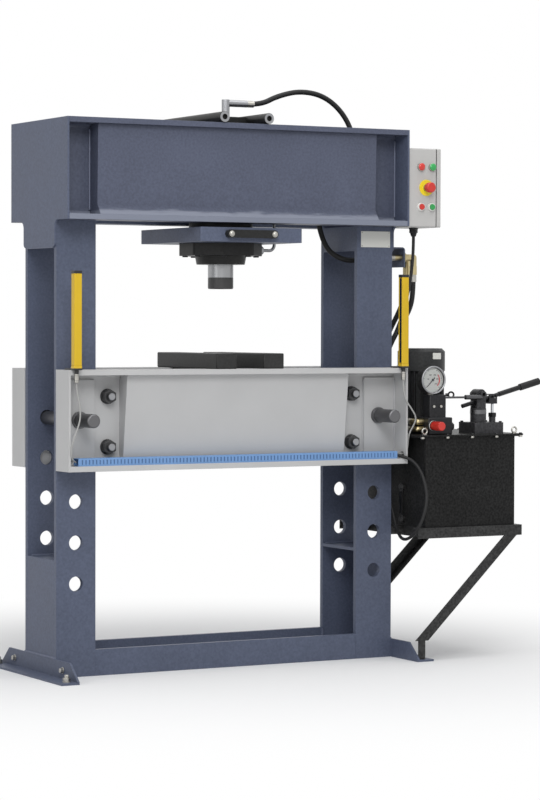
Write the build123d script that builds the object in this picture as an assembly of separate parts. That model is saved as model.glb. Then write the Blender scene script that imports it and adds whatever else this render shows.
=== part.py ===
from build123d import *
import os
from math import atan2, cos, radians, sin, tan

os.makedirs("parts", exist_ok=True)

# Millimetres. X runs along the beam, Y from the operator to the rear, Z up from the floor.
# The origin is the middle of the floor bolt pattern.
overrun = 3
bend_share = 0.45
running_gap = 0.3
shaft_gap = 0.05
guide_gap = 0.2

# Columns and base
column_width = 156
column_depth = 276
column_plate = 20
column_top_setback = 12
hole_first = 338
hole_pitch = 149
hole_count = 5
hole_diameter = 54
cover_height = 425
cover_plate = 10
diaphragm_plate = 12
tie_plate_height = 94
tie_plate = 10
rail_height = 96
rail_plate = 20

# Feet
foot_leg = 70
foot_plate = 8
foot_half_length = 340
foot_toe_height = 10
foot_toe = 70
foot_bolt_offset = 35
foot_bolt_inset = 35
foot_hole_diameter = 18

# Beam
beam_top = 2018
channel_height = 365
flange_width = 113
flange_thickness = 20
web_thickness = 16
root_radius = 14
root_relief = 17
end_plate = 8
tongue_drop = 97
tongue_corner = 26
tongue_end_corner = 16
beam_cover_inset = 124
beam_cover_plate = 8
beam_cover_top_setback = 24
beam_cover_bend_setback = 31
beam_lip_height = 38
beam_lip_setback = 3

# Table
table_clearance = 2
table_half = 700
pin_from_end = 73
pin_below_top = 184
doubler_reach = 61
doubler_plate = 10
table_cover_gap = 49
table_cover_plate = 8
table_cover_top_setback = 28
table_cover_bottom_setback = 66
tie_inset = 37
tie_drop_shares = (0.2685, 0.7699)
tie_radius = 15
tie_hole_gap = 0.5
tie_washer_radius = 28
tie_washer = 5
tie_nut_across = 46
tie_nut = 24
tie_stick_out = 14
spacer_radius = 23
spacer_bore_gap = 1

# Support pins
pin_radius = 25
pin_front = 294
pin_rear = 205
pin_collar_radius = 31
pin_collar = 10
pin_chamfer = 4

# Press blocks
block_centre = 31
block_gap = 110
block_width = 87
block_height = 57
block_half_length = 245
block_chamfer = 3
lug_half_length = 136
lug_half_width = 30
lug_depth = 12

# Cable duct
duct_inset = 33
duct_front = 245
duct_depth = 40
duct_height = 28
duct_wall = 2
duct_slot_pitch = 14
duct_slot_width = 5
duct_slot_height = 16
duct_entry_radius = 12

# Light curtains
curtain_inset = 18
curtain_y = 262
curtain_size = 30
curtain_height = 328
curtain_corner = 4
curtain_cap = 10
curtain_cap_margin = 0.5
curtain_tab = 52
curtain_tab_plate = 6
curtain_groove_half = 8
curtain_groove = 3
connector_radius = 7.5
connector_length = 46

# Carriage and cylinder
carriage_x = 34
carriage_half_width = 213
carriage_half_depth = 248
carriage_gap = 18
carriage_plate_thickness = 53
carriage_corner = 6
barrel_radius = 120
bore_radius = 100
barrel_cap = 28
barrel_hole_gap = 0.5
flange_apothem = 146
flange_sides = 8
flange_corner = 22
flange_height = 47
gland_radius_top = 97
gland_radius_bottom = 91
gland_height = 32
gland_spigot = 45
stroke = 235
stroke_margin = 6
piston_height = 60
piston_groove = 6
piston_groove_depth = 4
piston_groove_shares = (0.3, 0.7)
ram_radius = 48
ram_show = 49
nose_height = 43
nose_chamfer = 3
nose_spigot_radius = 20
nose_spigot = 18
nose_bore_radius = 12.5
nose_bore = 20
handle_centre = 27
handle_half = 105
handle_height = 30
handle_plate = 10
handle_stand = 15
handle_boss_radius = 15
handle_rise = 29
trolley_rod_radius = 20
left_rod_offset = 118
right_rod_offset = 67
trolley_half_length = 256
trolley_end_bore = 10
trolley_end_depth = 12
yoke_half_depth = 112
yoke_plate = 25
hanger_radius = 44
top_port_x = 20
top_port_radius = 15
top_port_rise = 59.5
top_port_stub_radius = 13
top_port_stub = 90
low_port_radius = 14
low_port_length = 32
low_pipe_radius = 6
low_pipe_x = 230
low_pipe_bend = 22
low_pipe_rise = 67
low_ferrule_radius = 12
low_ferrule = 34

# Hose bracket and fittings
bracket_front = 112
bracket_rear = 18
bracket_below = 76
bracket_width = 67
bracket_plate = 6
bracket_drop = 77
bracket_rise = 42
bracket_bend = 13
fitting_ys = (-90, -40)
fitting_drop = 39
fitting_stub = 32
fitting_stub_radius = 11
fitting_nut_across = 34
fitting_nut = 12
fitting_body_radius = 13
fitting_reach = 50
fitting_ferrule_radius = 14
fitting_leg = 66
fitting_collar_drop = 32

# Power unit
unit_gap = 40
shelf_length = 472
shelf_front = 330
shelf_rear = 262
shelf_top = 507
angle_leg = 40
angle_plate = 5
cross_offset = 14
arm_drop = 30
strut_foot_offset = 23
strut_foot_top = 94
strut_foot_half = 15
strut_leg = 40
strut_head_offset = 380
tank_length = 405
tank_front = 318
tank_rear = 250
tank_top = 853
tank_wall = 4
tank_rim = 26
lid_overhang = 28
lid_front = 335
lid_rear = 267
lid_plate = 7
level_y = 158
level_zs = (531, 656)
level_radius = 15.5
level_stand = 9

# Motor
motor_offset = 114
motor_y = -100
motor_foot_radius = 92
motor_foot = 14
motor_core_radius = 76
motor_fin_radius = 89
motor_fin_width = 4
motor_fin_count = 26
motor_body_top = 1100
motor_shield = 9
motor_shield_radius = 92
motor_wall = 15
stator_radius = 62
rotor_radius = 60
rotor_end_gap = 8
shaft_radius = 14
shaft_below = 40
lid_shaft_hole = 32
fan_cover_radius = 92
fan_cover_wall = 2
fan_cover_top = 1187
fan_cover_chamfer = 12
fan_slot_count = 16
fan_slot_inner = 26
fan_slot_outer = 70
fan_slot_width = 6
fan_radius = 74
fan_hub_radius = 24
fan_bottom_gap = 22
fan_blade_height = 26
fan_blade_thickness = 4
fan_blade_count = 8

# Valve block and gauge
valve_offset = 24
valve_length = 108
valve_front = 300
valve_rear = 198
valve_top = 925
valve_chamfer = 3
plug_y = -258
plug_z = 889
plug_radius = 13
plug_length = 26
riser_offset = 36
riser_length = 73
riser_front = 290
riser_rear = 238
riser_top = 1012
pump_fitting_zs = (880, 908)
pump_fitting_y = -256
pump_fitting_offset = 3
pump_fitting_radius = 12
pump_fitting_tail = 216
gauge_offset = 52
gauge_z = 1068
gauge_radius = 53.5
gauge_front = 290
gauge_depth = 38
gauge_rim = 6
gauge_recess = 9
gauge_stem_radius = 8
gauge_stem_y = 266
needle_length = 38
needle_tail = 12
needle_half_width = 2
needle_tip_half_width = 0.8
needle_plate = 1.5
needle_stand = 3
needle_spindle_radius = 2.5
needle_hub_radius = 5
needle_spindle_depth = 6
needle_turn = 225
knob_offset = 45
knob_z = 894
knob_radius = 17
knob_length = 58
knob_collar_radius = 19
knob_collar = 4
knob_stem_radius = 6
knob_stem = 25
knob_flute_radius = 2
knob_flute_count = 16
knob_chamfer = 2

# Hand pump
pump_offset = 241
pump_length = 133
pump_front = 290
pump_rear = 168
pump_height = 42
pump_corner = 8
post_offset = 294
pump_y = -229
post_radius = 31
post_top = 956
ear_half_gap = 13
ear_plate = 11
ear_half_width = 20
pivot_z = 1010
pivot_radius = 12.5
pivot_half = 41
pivot_bore_radius = 7
plunger_arm = 65
barrel_small_radius = 13
barrel_small_top = 938
plunger_radius = 6
plunger_bottom = 900
plunger_bore_floor = 868
fork_half_gap = 10
fork_cheek = 5
fork_web_bottom = 973
fork_web = 6
fork_top_margin = 9
slot_half_height = 5.6
slot_before = 18
slot_after = 8
lever_slope = 14.8
lever_offset = 26
lever_radius = 8
lever_stub = 74
lever_reach = 274
tube_start = 95
tube_radius = 9.8
lever_pin_radius = 4
lever_pin_half = 17
hub_radius = 20
hub_half = 12
hub_web_half = 6
grip_radius = 13.5
grip_length = 92
grip_wrap = 84
pipe_y = -264
pipe_z = 1000
pipe_radius = 4
pipe_nut_radius = 9
pipe_nut_offset = 212

# Control box
box_depth = 122
box_front = 244
box_rear = 44
box_below = 2
box_height = 300
box_wall = 2.5
box_corner = 6
door_depth = 17.5
door_wall = 2.5
door_gap = 4
hinge_offset = 4
hinge_radius = 4
hinge_length = 30
hinge_lug = 12
hinge_leaf = 14
hinge_plate = 2
hinge_shares = (0.18, 0.82)
button_radius = 11
bezel_radius = 14.5
bezel_height = 10
button_proud = 5
button_root = 20
button_offsets = (53, 100)
button_rise = 77
estop_offset = 78
estop_rise = 150
estop_collar_radius = 30
estop_collar = 3
estop_head_radius = 20
estop_head = 20
estop_neck = 22
estop_dome = 6
lamp_offsets = (53, 103)
lamp_rise = 229
lamp_height = 9
gland_offset = 84
gland_y = -144
cable_gland_radius = 13
cable_gland_tip_radius = 8.5
cable_gland_body = 20
cable_gland_tip = 12

# Cords
hose_radius = 10
cable_radius = 6
sensor_radius = 3
lower_hose_route = [
    (264, 0, 1736), (264, 0, 1795), (302, 14, 1882), (372, 32, 1920), (446, 48, 1882), (482, 56, 1795),
    (484, 54, 1700), (494, 46, 1626), (520, 28, 1556), (584, -10, 1520), (662, -40, 1538), (742, -40, 1538),
]
upper_hose_route = [
    (144, 0, 2110.3), (204, 0, 2110.3), (276, 0, 2146), (376, -2, 2170), (480, -6, 2154),
    (562, -14, 2088), (602, -26, 1992), (616, -44, 1888), (622, -64, 1784), (628, -80, 1694),
    (646, -88, 1606), (684, -90, 1538), (742, -90, 1538),
]
front_hose_route = [
    (830, -90, 1472), (830, -90, 1410), (826, -78, 1344), (806, -46, 1284), (784, -10, 1216), (764, 16, 1140),
    (747, 26, 1060), (740, 12, 986), (743, -34, 934), (748, -92, 915), (751, -158, 908), (751, -216, 908),
]
rear_hose_route = [
    (830, -40, 1472), (830, -40, 1408), (816, -20, 1340), (792, 16, 1262), (768, 48, 1180), (748, 72, 1092),
    (738, 76, 1006), (738, 50, 934), (743, -14, 895), (749, -84, 882), (751, -154, 880), (751, -216, 880),
]
control_route = [
    (797, -144, 1619), (797, -144, 1568), (791, -143, 1490), (778, -139, 1400), (755, -128, 1306),
    (722, -112, 1216), (694, -98, 1120), (683, -92, 1010), (680, -90, 900), (682, -92, 800), (692, -96, 708),
    (713, -102, 628), (721, -124, 556), (715, -164, 494), (702, -216, 460), (692, -282, 462), (696, -338, 494),
    (717, -354, 550), (738, -348, 620), (739, -324, 690), (728, -298, 742), (703, -267, 774),
    (667, -235, 783.6),
]
left_sensor_route = [
    (-682, -262, 1068.6), (-682, -262, 1038), (-671, -265, 994), (-668, -267, 944), (-684, -268, 896),
    (-703, -267, 850), (-702, -262, 812), (-688, -240, 788), (-667, -225, 783.6),
]
right_sensor_route = [
    (682, -262, 1068.6), (682, -262, 1038), (688, -266, 994), (714, -269, 960), (737, -269, 926),
    (728, -264, 896), (714.5, -256, 869), (714, -245, 840), (722, -233, 812), (712, -222, 788),
    (689, -216.5, 784.2), (667, -215, 783.6),
]
loop_points = 5

# Places that follow from the sizes
x_mid = table_half - pin_from_end
x_in = x_mid - column_width / 2
x_out = x_mid + column_width / 2
y_out = column_depth / 2
y_in = y_out - column_plate
foot_shoulder = foot_half_length - foot_toe
foot_bolt_x = x_out + foot_bolt_offset
foot_bolt_y = foot_half_length - foot_bolt_inset
beam_cover_half = x_out - beam_cover_inset
doubler_inner = x_mid - doubler_reach
tie_x = x_in - tie_inset
table_cover_half = tie_x - table_cover_gap
tie_drops = [share * channel_height for share in tie_drop_shares]
duct_half = table_half - duct_inset
curtain_x = table_half - curtain_inset
beam_bottom = beam_top - channel_height
beam_tip = y_out + flange_width
hole_zs = [hole_first + hole_pitch * k for k in range(hole_count)]
pin_play = hole_diameter / 2 - pin_radius - running_gap
pin_z = hole_zs[-1] - pin_play
table_hole_z = pin_z - pin_play
table_top = table_hole_z + pin_below_top
table_bottom = table_top - channel_height
table_back = y_out + table_clearance
table_face = table_back + web_thickness
table_tip = table_back + flange_width
table_end = table_half + end_plate
plate_top = beam_bottom - carriage_gap
plate_bottom = plate_top - carriage_plate_thickness
handle_z = plate_bottom + handle_rise
low_pipe_top = plate_top + low_pipe_rise
flange_bottom = plate_bottom - flange_height
gland_bottom = flange_bottom - gland_height
spigot_top = flange_bottom + gland_spigot
piston_bottom = spigot_top + stroke + stroke_margin
piston_top = piston_bottom + piston_height
bore_top = piston_top + stroke_margin
barrel_top = bore_top + barrel_cap
nose_top = gland_bottom - ram_show
nose_bottom = nose_top - nose_height
rod_z = beam_top + trolley_rod_radius + running_gap
yoke_bottom = rod_z - yoke_plate / 2
yoke_top = rod_z + yoke_plate / 2
top_port_z = yoke_top + top_port_rise
low_port_z = (plate_bottom + flange_bottom) / 2
bracket_root = x_out + end_plate
bracket_top = beam_bottom - bracket_below
bracket_reach = bracket_root + bracket_width
fitting_z = bracket_top - fitting_drop
fitting_elbow_x = bracket_reach + fitting_reach
fitting_bottom = fitting_z - fitting_leg
fitting_collar_bottom = fitting_z - fitting_collar_drop
tank_left = table_end + unit_gap
tank_right = tank_left + tank_length
shelf_left = table_end
shelf_right = shelf_left + shelf_length
cross_left = tank_left + cross_offset
strut_foot = x_out + strut_foot_offset
strut_head_x = tank_left + strut_head_offset
lid_left = tank_left - lid_overhang
lid_right = tank_right + lid_overhang
lid_top = tank_top + lid_plate
motor_x = tank_left + motor_offset
valve_left = tank_left + valve_offset
valve_right = valve_left + valve_length
riser_left = tank_left + riser_offset
riser_right = riser_left + riser_length
pump_fitting_x = tank_left + pump_fitting_offset
gauge_x = tank_left + gauge_offset
knob_x = tank_left + knob_offset
pump_left = tank_left + pump_offset
pump_right = pump_left + pump_length
post_x = tank_left + post_offset
pipe_nut_left = tank_left + pipe_nut_offset
duct_bottom = table_bottom + flange_thickness
duct_mid = duct_bottom + duct_height / 2
box_left = x_out + end_plate
box_right = box_left + box_depth
door_left = box_right + door_gap
door_right = door_left + door_depth
hinge_axis = (box_right + door_gap / 2, -box_rear + hinge_offset)
box_bottom = beam_bottom - box_below
box_top = box_bottom + box_height
button_x = [box_left + offset for offset in button_offsets]
button_z = box_bottom + button_rise
estop_x = box_left + estop_offset
estop_z = box_bottom + estop_rise
lamp_x = [box_left + offset for offset in lamp_offsets]
lamp_z = box_bottom + lamp_rise
gland_x = box_left + gland_offset
gauge_face = -(gauge_front - gauge_recess)
arm_slope = tan(radians(lever_slope))
lever_pin = (post_x + plunger_arm, pivot_z - lever_offset + plunger_arm * arm_slope)


def slab(x, y, z):
    """A straight-edged solid between two corners, each axis given as (low, high)."""
    sides = [high - low for low, high in (x, y, z)]
    middle = [(low + high) / 2 for low, high in (x, y, z)]
    return Pos(*middle) * Box(*sides)


def sided(side, low, high):
    """A range on the left or right of the middle, for side -1 or +1."""
    return tuple(sorted((side * low, side * high)))


def frame_at(start, end):
    start, end = Vector(*start), Vector(*end)
    return Plane(origin=start, z_dir=end - start), (end - start).length


def bar(start, end, radius):
    """A round bar between two points."""
    plane, length = frame_at(start, end)
    return plane * Cylinder(radius, length, align=(Align.CENTER, Align.CENTER, Align.MIN))


def cone(start, end, first, last):
    plane, length = frame_at(start, end)
    return plane * Cone(first, last, length, align=(Align.CENTER, Align.CENTER, Align.MIN))


def hex_bar(start, end, across):
    plane, length = frame_at(start, end)
    return plane * extrude(RegularPolygon(across / 2, 6, major_radius=False), amount=length)


def prism_x(x, outline):
    """An outline of (y, z) points carried along X."""
    face = make_face(Polyline(*[(x[0], y, z) for y, z in outline], close=True))
    return extrude(face, amount=x[1] - x[0], dir=(1, 0, 0))


def prism_y(y, outline):
    """An outline of (x, z) points carried along Y."""
    face = make_face(Polyline(*[(x, y[0], z) for x, z in outline], close=True))
    return extrude(face, amount=y[1] - y[0], dir=(0, 1, 0))


def behind(piece):
    return mirror(piece, about=Plane.XZ)


def group(*pieces):
    return Compound(children=list(pieces))


def upright(side):
    """The front plate of one column with its row of pin holes."""
    top = beam_top - column_top_setback
    plate = slab(sided(side, x_in, x_out), (-y_out, -y_in), (0, top))
    for z in hole_zs:
        start = (side * x_mid, -y_out - overrun, z)
        plate -= bar(start, (side * x_mid, -y_in + overrun, z), hole_diameter / 2)
    return plate


def column_plates(side):
    """Lower outer cover, diaphragm and upper inner tie plate of one column."""
    cover = slab(sided(side, x_out - cover_plate, x_out), (-y_in, y_in), (0, cover_height))
    inner = sided(side, x_in, x_out - cover_plate)
    diaphragm = slab(inner, (-y_in, y_in), (cover_height - diaphragm_plate, cover_height))
    tie_z = (beam_bottom - tie_plate_height, beam_bottom)
    tie = slab(sided(side, x_in, x_in + tie_plate), (-y_in, y_in), tie_z)
    return [cover, diaphragm, tie]


def base_rail():
    return slab((-x_in, x_in), (-y_out, -y_out + rail_plate), (0, rail_height))


def foot(side):
    """Angle on the floor beside one column, its upright leg cut down at the toes."""
    outline = [(-foot_half_length, 0), (foot_half_length, 0), (foot_half_length, foot_toe_height),
               (foot_shoulder, foot_leg), (-foot_shoulder, foot_leg), (-foot_half_length, foot_toe_height)]
    leg = prism_x(sided(side, x_out, x_out + foot_plate), outline)
    sole = slab(sided(side, x_out, x_out + foot_leg), (-foot_half_length, foot_half_length), (0, foot_plate))
    angle = leg + sole
    for y in (-foot_bolt_y, foot_bolt_y):
        start = (side * foot_bolt_x, y, -overrun)
        angle -= bar(start, (side * foot_bolt_x, y, foot_plate + overrun), foot_hole_diameter / 2)
    return angle


def beam_end_plate(side):
    """T-shaped plate that closes the beam and laps down over the column."""
    low = beam_bottom - tongue_drop
    outline = [(-beam_tip, beam_top), (-beam_tip, beam_bottom), (-y_out, beam_bottom), (-y_out, low),
               (y_out, low), (y_out, beam_bottom), (beam_tip, beam_bottom), (beam_tip, beam_top)]
    plate = prism_x(sided(side, x_out, x_out + end_plate), outline)
    along = plate.edges().filter_by(Axis.X)
    necks = [e for e in along if abs(abs(e.center().Y) - y_out) < running_gap]
    ends = [e for e in necks if abs(e.center().Z - low) < running_gap]
    plate = fillet(ends, tongue_end_corner)
    along = plate.edges().filter_by(Axis.X)
    inner = [e for e in along if abs(abs(e.center().Y) - y_out) < running_gap
             and abs(e.center().Z - beam_bottom) < running_gap]
    return fillet(inner, tongue_corner)


def channel(half_length, back, top):
    """Front channel: the web stands against the columns, the flanges point to the operator."""
    bottom = top - channel_height
    tip = back + flange_width
    face = back + web_thickness
    solid = slab((-half_length, half_length), (-tip, -back), (bottom, top))
    hollow = slab((-half_length - overrun, half_length + overrun), (-tip - overrun, -face),
                  (bottom + flange_thickness, top - flange_thickness))
    roots = hollow.edges().filter_by(Axis.X).group_by(Axis.Y)[-1]
    return solid - fillet(roots, root_radius)


def boxed_cover(half_width, plate, outline):
    """Folded cover with closed sides, open towards the web behind it."""
    inside = prism_x((-half_width + plate, half_width - plate), outline)
    return prism_x((-half_width, half_width), outline) - Pos(0, plate, 0) * inside


def beam_cover():
    low, high = beam_bottom + flange_thickness, beam_top - flange_thickness
    face = -(y_out + web_thickness)
    outline = [(-beam_tip + beam_cover_top_setback, high),
               (-beam_tip + beam_cover_bend_setback, low + beam_lip_height),
               (-beam_tip + beam_lip_setback, low), (face - root_relief, low), (face, low + root_relief),
               (face, high - root_relief), (face - root_relief, high)]
    return boxed_cover(beam_cover_half, beam_cover_plate, outline)


def table_channel():
    """Table channel with thickened pin places, pin holes and tie bolt holes."""
    solid = channel(table_half, table_back, table_top)
    margin = flange_thickness + root_relief
    for side in (-1, 1):
        solid += slab(sided(side, doubler_inner, table_half), (-table_face - doubler_plate, -table_face),
                      (table_bottom + margin, table_top - margin))
        front, back = -table_face - doubler_plate - overrun, -table_back + overrun
        x = side * x_mid
        solid -= bar((x, front, table_hole_z), (x, back, table_hole_z), hole_diameter / 2)
        for drop in tie_drops:
            z = table_top - drop
            solid -= bar((side * tie_x, front, z), (side * tie_x, back, z), tie_radius + tie_hole_gap)
    return solid


def table_end_plate(side, entry):
    plate = slab(sided(side, table_half, table_end), (-table_tip, -table_back), (table_bottom, table_top))
    if entry:
        y = -duct_front + duct_depth / 2
        start = (table_half - overrun, y, duct_mid)
        plate -= bar(start, (table_end + overrun, y, duct_mid), duct_entry_radius)
    return plate


def table_cover():
    low, high = table_bottom + flange_thickness, table_top - flange_thickness
    outline = [(-table_tip + table_cover_top_setback, high), (-table_tip + table_cover_bottom_setback, low),
               (-table_face - root_relief, low), (-table_face, low + root_relief),
               (-table_face, high - root_relief), (-table_face - root_relief, high)]
    return boxed_cover(table_cover_half, table_cover_plate, outline)


def tie_bolt(x, z):
    """Through bolt with a washer, nut and bolt end at the front and at the rear."""
    reach = table_face + tie_washer + tie_nut + tie_stick_out
    bolt = bar((x, -reach, z), (x, reach, z), tie_radius)
    for side in (-1, 1):
        seat = side * table_face
        under = side * (table_face + tie_washer)
        bolt += bar((x, seat, z), (x, under, z), tie_washer_radius)
        bolt += hex_bar((x, under, z), (x, side * (table_face + tie_washer + tie_nut), z), tie_nut_across)
    return bolt


def tie_spacer(x, z):
    tube = bar((x, -table_back, z), (x, table_back, z), spacer_radius)
    reach = table_back + overrun
    return tube - bar((x, -reach, z), (x, reach, z), tie_radius + spacer_bore_gap)


def support_pin(side):
    """Round pin through both channels and one column, with a stop collar."""
    x = side * x_mid
    body = bar((x, -pin_front, pin_z), (x, pin_rear, pin_z), pin_radius)
    body = chamfer(body.edges().filter_by(GeomType.CIRCLE), pin_chamfer)
    stop = -(table_face + doubler_plate + running_gap)
    return body + bar((x, stop - pin_collar, pin_z), (x, stop, pin_z), pin_collar_radius)


def press_block(side):
    low = block_gap / 2
    x = tuple(block_centre + v for v in sided(side, low, low + block_width))
    block = slab(x, (-block_half_length, block_half_length), (table_top, table_top + block_height))
    block = chamfer(block.edges(), block_chamfer)
    middle = sum(x) / 2
    lug = slab((middle - lug_half_width, middle + lug_half_width), (-lug_half_length, lug_half_length),
               (table_top - lug_depth, table_top + block_chamfer))
    return block + lug


def cable_duct():
    """Closed duct on the lower flange, its front wall slotted."""
    y = (-duct_front, -duct_front + duct_depth)
    z = (duct_bottom, duct_bottom + duct_height)
    duct = slab((-duct_half, duct_half), y, z)
    duct -= slab((-duct_half - overrun, duct_half + overrun), (y[0] + duct_wall, y[1] - duct_wall),
                 (z[0] + duct_wall, z[1] - duct_wall))
    count = int(2 * duct_half / duct_slot_pitch) - 1
    slot = Box(duct_slot_width, duct_wall + overrun, duct_slot_height)
    places = GridLocations(duct_slot_pitch, duct_slot_pitch, count, 1)
    for place in places:
        duct -= Pos(place.position.X, y[0], duct_mid) * slot
    return duct


def curtain(side):
    """Square profile with a groove for the lens on the side that faces the work."""
    low = table_top + curtain_tab_plate + curtain_cap
    half = curtain_size / 2
    body = slab((-half, half), (-half, half), (low, low + curtain_height))
    body = fillet(body.edges().filter_by(Axis.Z), curtain_corner)
    groove = slab(sided(-side, half - curtain_groove, half + overrun),
                  (-curtain_groove_half, curtain_groove_half),
                  (low - overrun, low + curtain_height + overrun))
    return Pos(side * curtain_x, -curtain_y, 0) * (body - groove)


def curtain_ends(side):
    """Top cap, and the bottom cap with its tab on the table and its connector."""
    half = curtain_size / 2 + curtain_cap_margin
    low = table_top + curtain_tab_plate + curtain_cap
    high = low + curtain_height
    top = slab((-half, half), (-half, half), (high, high + curtain_cap))
    top = fillet(top.edges().filter_by(Axis.Z), curtain_corner)
    foot_block = slab((-half, half), (-half, half), (low - curtain_cap, low))
    foot_block = fillet(foot_block.edges().filter_by(Axis.Z), curtain_corner)
    foot_block += slab((-half, half), (-half, half + curtain_tab), (table_top, low - curtain_cap))
    foot_block += bar((0, 0, table_top), (0, 0, table_top - connector_length), connector_radius)
    place = Pos(side * curtain_x, -curtain_y, 0)
    return [place * top, place * foot_block]


def carriage_body():
    x = (carriage_x - carriage_half_width, carriage_x + carriage_half_width)
    plate = slab(x, (-carriage_half_depth, carriage_half_depth), (plate_bottom, plate_top))
    plate = fillet(plate.edges().filter_by(Axis.Z), carriage_corner)
    axis = [(carriage_x, 0, z) for z in (plate_bottom - overrun, plate_top + overrun)]
    return plate - bar(*axis, barrel_radius + barrel_hole_gap)


def handle():
    """Flat pull bar on two bosses in front of the carriage."""
    root = -carriage_half_depth
    back = root - handle_stand
    low, high = handle_z - handle_height / 2, handle_z + handle_height / 2
    x = (handle_centre - handle_half, handle_centre + handle_half)
    grip = slab(x, (back - handle_plate, back), (low, high))
    ends = grip.edges().filter_by(Axis.Y)
    grip = fillet(ends, handle_height / 2 - running_gap)
    for side in (-1, 1):
        x = handle_centre + side * (handle_half - handle_height / 2)
        grip += bar((x, back, handle_z), (x, root, handle_z), handle_boss_radius)
    return grip


def barrel():
    tube = bar((carriage_x, 0, flange_bottom), (carriage_x, 0, barrel_top), barrel_radius)
    return tube - bar((carriage_x, 0, flange_bottom - overrun), (carriage_x, 0, bore_top), bore_radius)


def barrel_flange():
    plane = Plane(origin=(carriage_x, 0, flange_bottom))
    profile = Rot(0, 0, 180 / flange_sides) * RegularPolygon(flange_apothem, flange_sides, major_radius=False)
    ring = plane * extrude(profile, amount=flange_height)
    ring = fillet(ring.edges().filter_by(Axis.Z), flange_corner)
    axis = [(carriage_x, 0, z) for z in (flange_bottom - overrun, plate_bottom + overrun)]
    return ring - bar(*axis, barrel_radius)


def rod_gland():
    low, mid = (carriage_x, 0, gland_bottom), (carriage_x, 0, flange_bottom)
    solid = cone(low, mid, gland_radius_bottom, gland_radius_top)
    solid += bar(mid, (carriage_x, 0, spigot_top), bore_radius)
    axis = [(carriage_x, 0, z) for z in (gland_bottom - overrun, spigot_top + overrun)]
    return solid - bar(*axis, ram_radius + guide_gap)


def trolley():
    """Two bars across the beam top, a plate between them and the hanger down to the barrel."""
    rods = (carriage_x - left_rod_offset, carriage_x + right_rod_offset)
    solid = slab(rods, (-yoke_half_depth, yoke_half_depth), (yoke_bottom, yoke_top))
    solid += bar((carriage_x, 0, barrel_top), (carriage_x, 0, rod_z), hanger_radius)
    for at in rods:
        solid += bar((at, -trolley_half_length, rod_z), (at, trolley_half_length, rod_z), trolley_rod_radius)
        for end in (-1, 1):
            inner = end * (trolley_half_length - trolley_end_depth)
            outer = end * (trolley_half_length + overrun)
            solid -= bar((at, inner, rod_z), (at, outer, rod_z), trolley_end_bore)
    return solid


def top_port():
    x = carriage_x + top_port_x
    port = bar((x, 0, yoke_top), (x, 0, top_port_z + top_port_stub_radius), top_port_radius)
    return port + bar((x, 0, top_port_z), (x + top_port_stub, 0, top_port_z), top_port_stub_radius)


def low_port():
    """Union on the flange side with a pipe bent up past the carriage plate."""
    root = carriage_x + flange_apothem
    nut = hex_bar((root, 0, low_port_z), (root + low_port_length, 0, low_port_z), 2 * low_port_radius)
    bend = (carriage_x + low_pipe_x, 0, low_port_z)
    top = (carriage_x + low_pipe_x, 0, low_pipe_top)
    start = (root + low_port_length / 2, 0, low_port_z)
    path = FilletPolyline(start, bend, top, radius=low_pipe_bend)
    pipe = sweep(Plane(origin=start, z_dir=(1, 0, 0)) * Circle(low_pipe_radius), path=path)
    ferrule_end = (*top[:2], low_pipe_top + low_ferrule)
    ferrule = bar((*top[:2], low_pipe_top - low_pipe_bend), ferrule_end, low_ferrule_radius)
    return nut + pipe + ferrule


def ram_rod():
    """Chromed rod with its piston at the upper end and a spigot for the nose."""
    rod = bar((carriage_x, 0, nose_top), (carriage_x, 0, piston_bottom), ram_radius)
    spigot_end = (carriage_x, 0, nose_top - nose_spigot)
    rod += bar(spigot_end, (carriage_x, 0, nose_top), nose_spigot_radius - guide_gap)
    edge = bore_radius - running_gap
    piston = bar((carriage_x, 0, piston_bottom), (carriage_x, 0, piston_top), edge)
    for share in piston_groove_shares:
        z = piston_bottom + share * piston_height
        low, high = (carriage_x, 0, z - piston_groove / 2), (carriage_x, 0, z + piston_groove / 2)
        piston -= bar(low, high, edge + overrun) - bar(low, high, edge - piston_groove_depth)
    return rod + piston


def ram_nose():
    body = bar((carriage_x, 0, nose_bottom), (carriage_x, 0, nose_top), ram_radius)
    body = chamfer(body.edges().filter_by(GeomType.CIRCLE).sort_by(Axis.Z)[0], nose_chamfer)
    socket = (carriage_x, 0, nose_top - nose_spigot)
    body -= bar(socket, (carriage_x, 0, nose_top + overrun), nose_spigot_radius)
    mouth = (carriage_x, 0, nose_bottom - overrun)
    return body - bar(mouth, (carriage_x, 0, nose_bottom + nose_bore), nose_bore_radius)


def hose_bracket():
    """Bent strip that carries the bulkhead fittings beside the right column."""
    root = bracket_root
    y = (-bracket_front, -bracket_rear)
    inner = bracket_top - bracket_plate
    low = bracket_top - bracket_drop
    outline = [(root, inner), (bracket_reach - bracket_plate, inner), (bracket_reach - bracket_plate, low),
               (bracket_reach, low), (bracket_reach, bracket_top), (root + bracket_plate, bracket_top),
               (root + bracket_plate, bracket_top + bracket_rise), (root, bracket_top + bracket_rise)]
    strip = prism_y(y, outline)
    corner = [e for e in strip.edges().filter_by(Axis.Y)
              if abs(e.center().X - bracket_reach) < running_gap
              and abs(e.center().Z - bracket_top) < running_gap]
    strip = fillet(corner, bracket_bend)
    for at in fitting_ys:
        start = (bracket_reach - bracket_plate - overrun, at, fitting_z)
        strip -= bar(start, (bracket_reach + overrun, at, fitting_z), fitting_stub_radius + guide_gap)
    return strip


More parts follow.
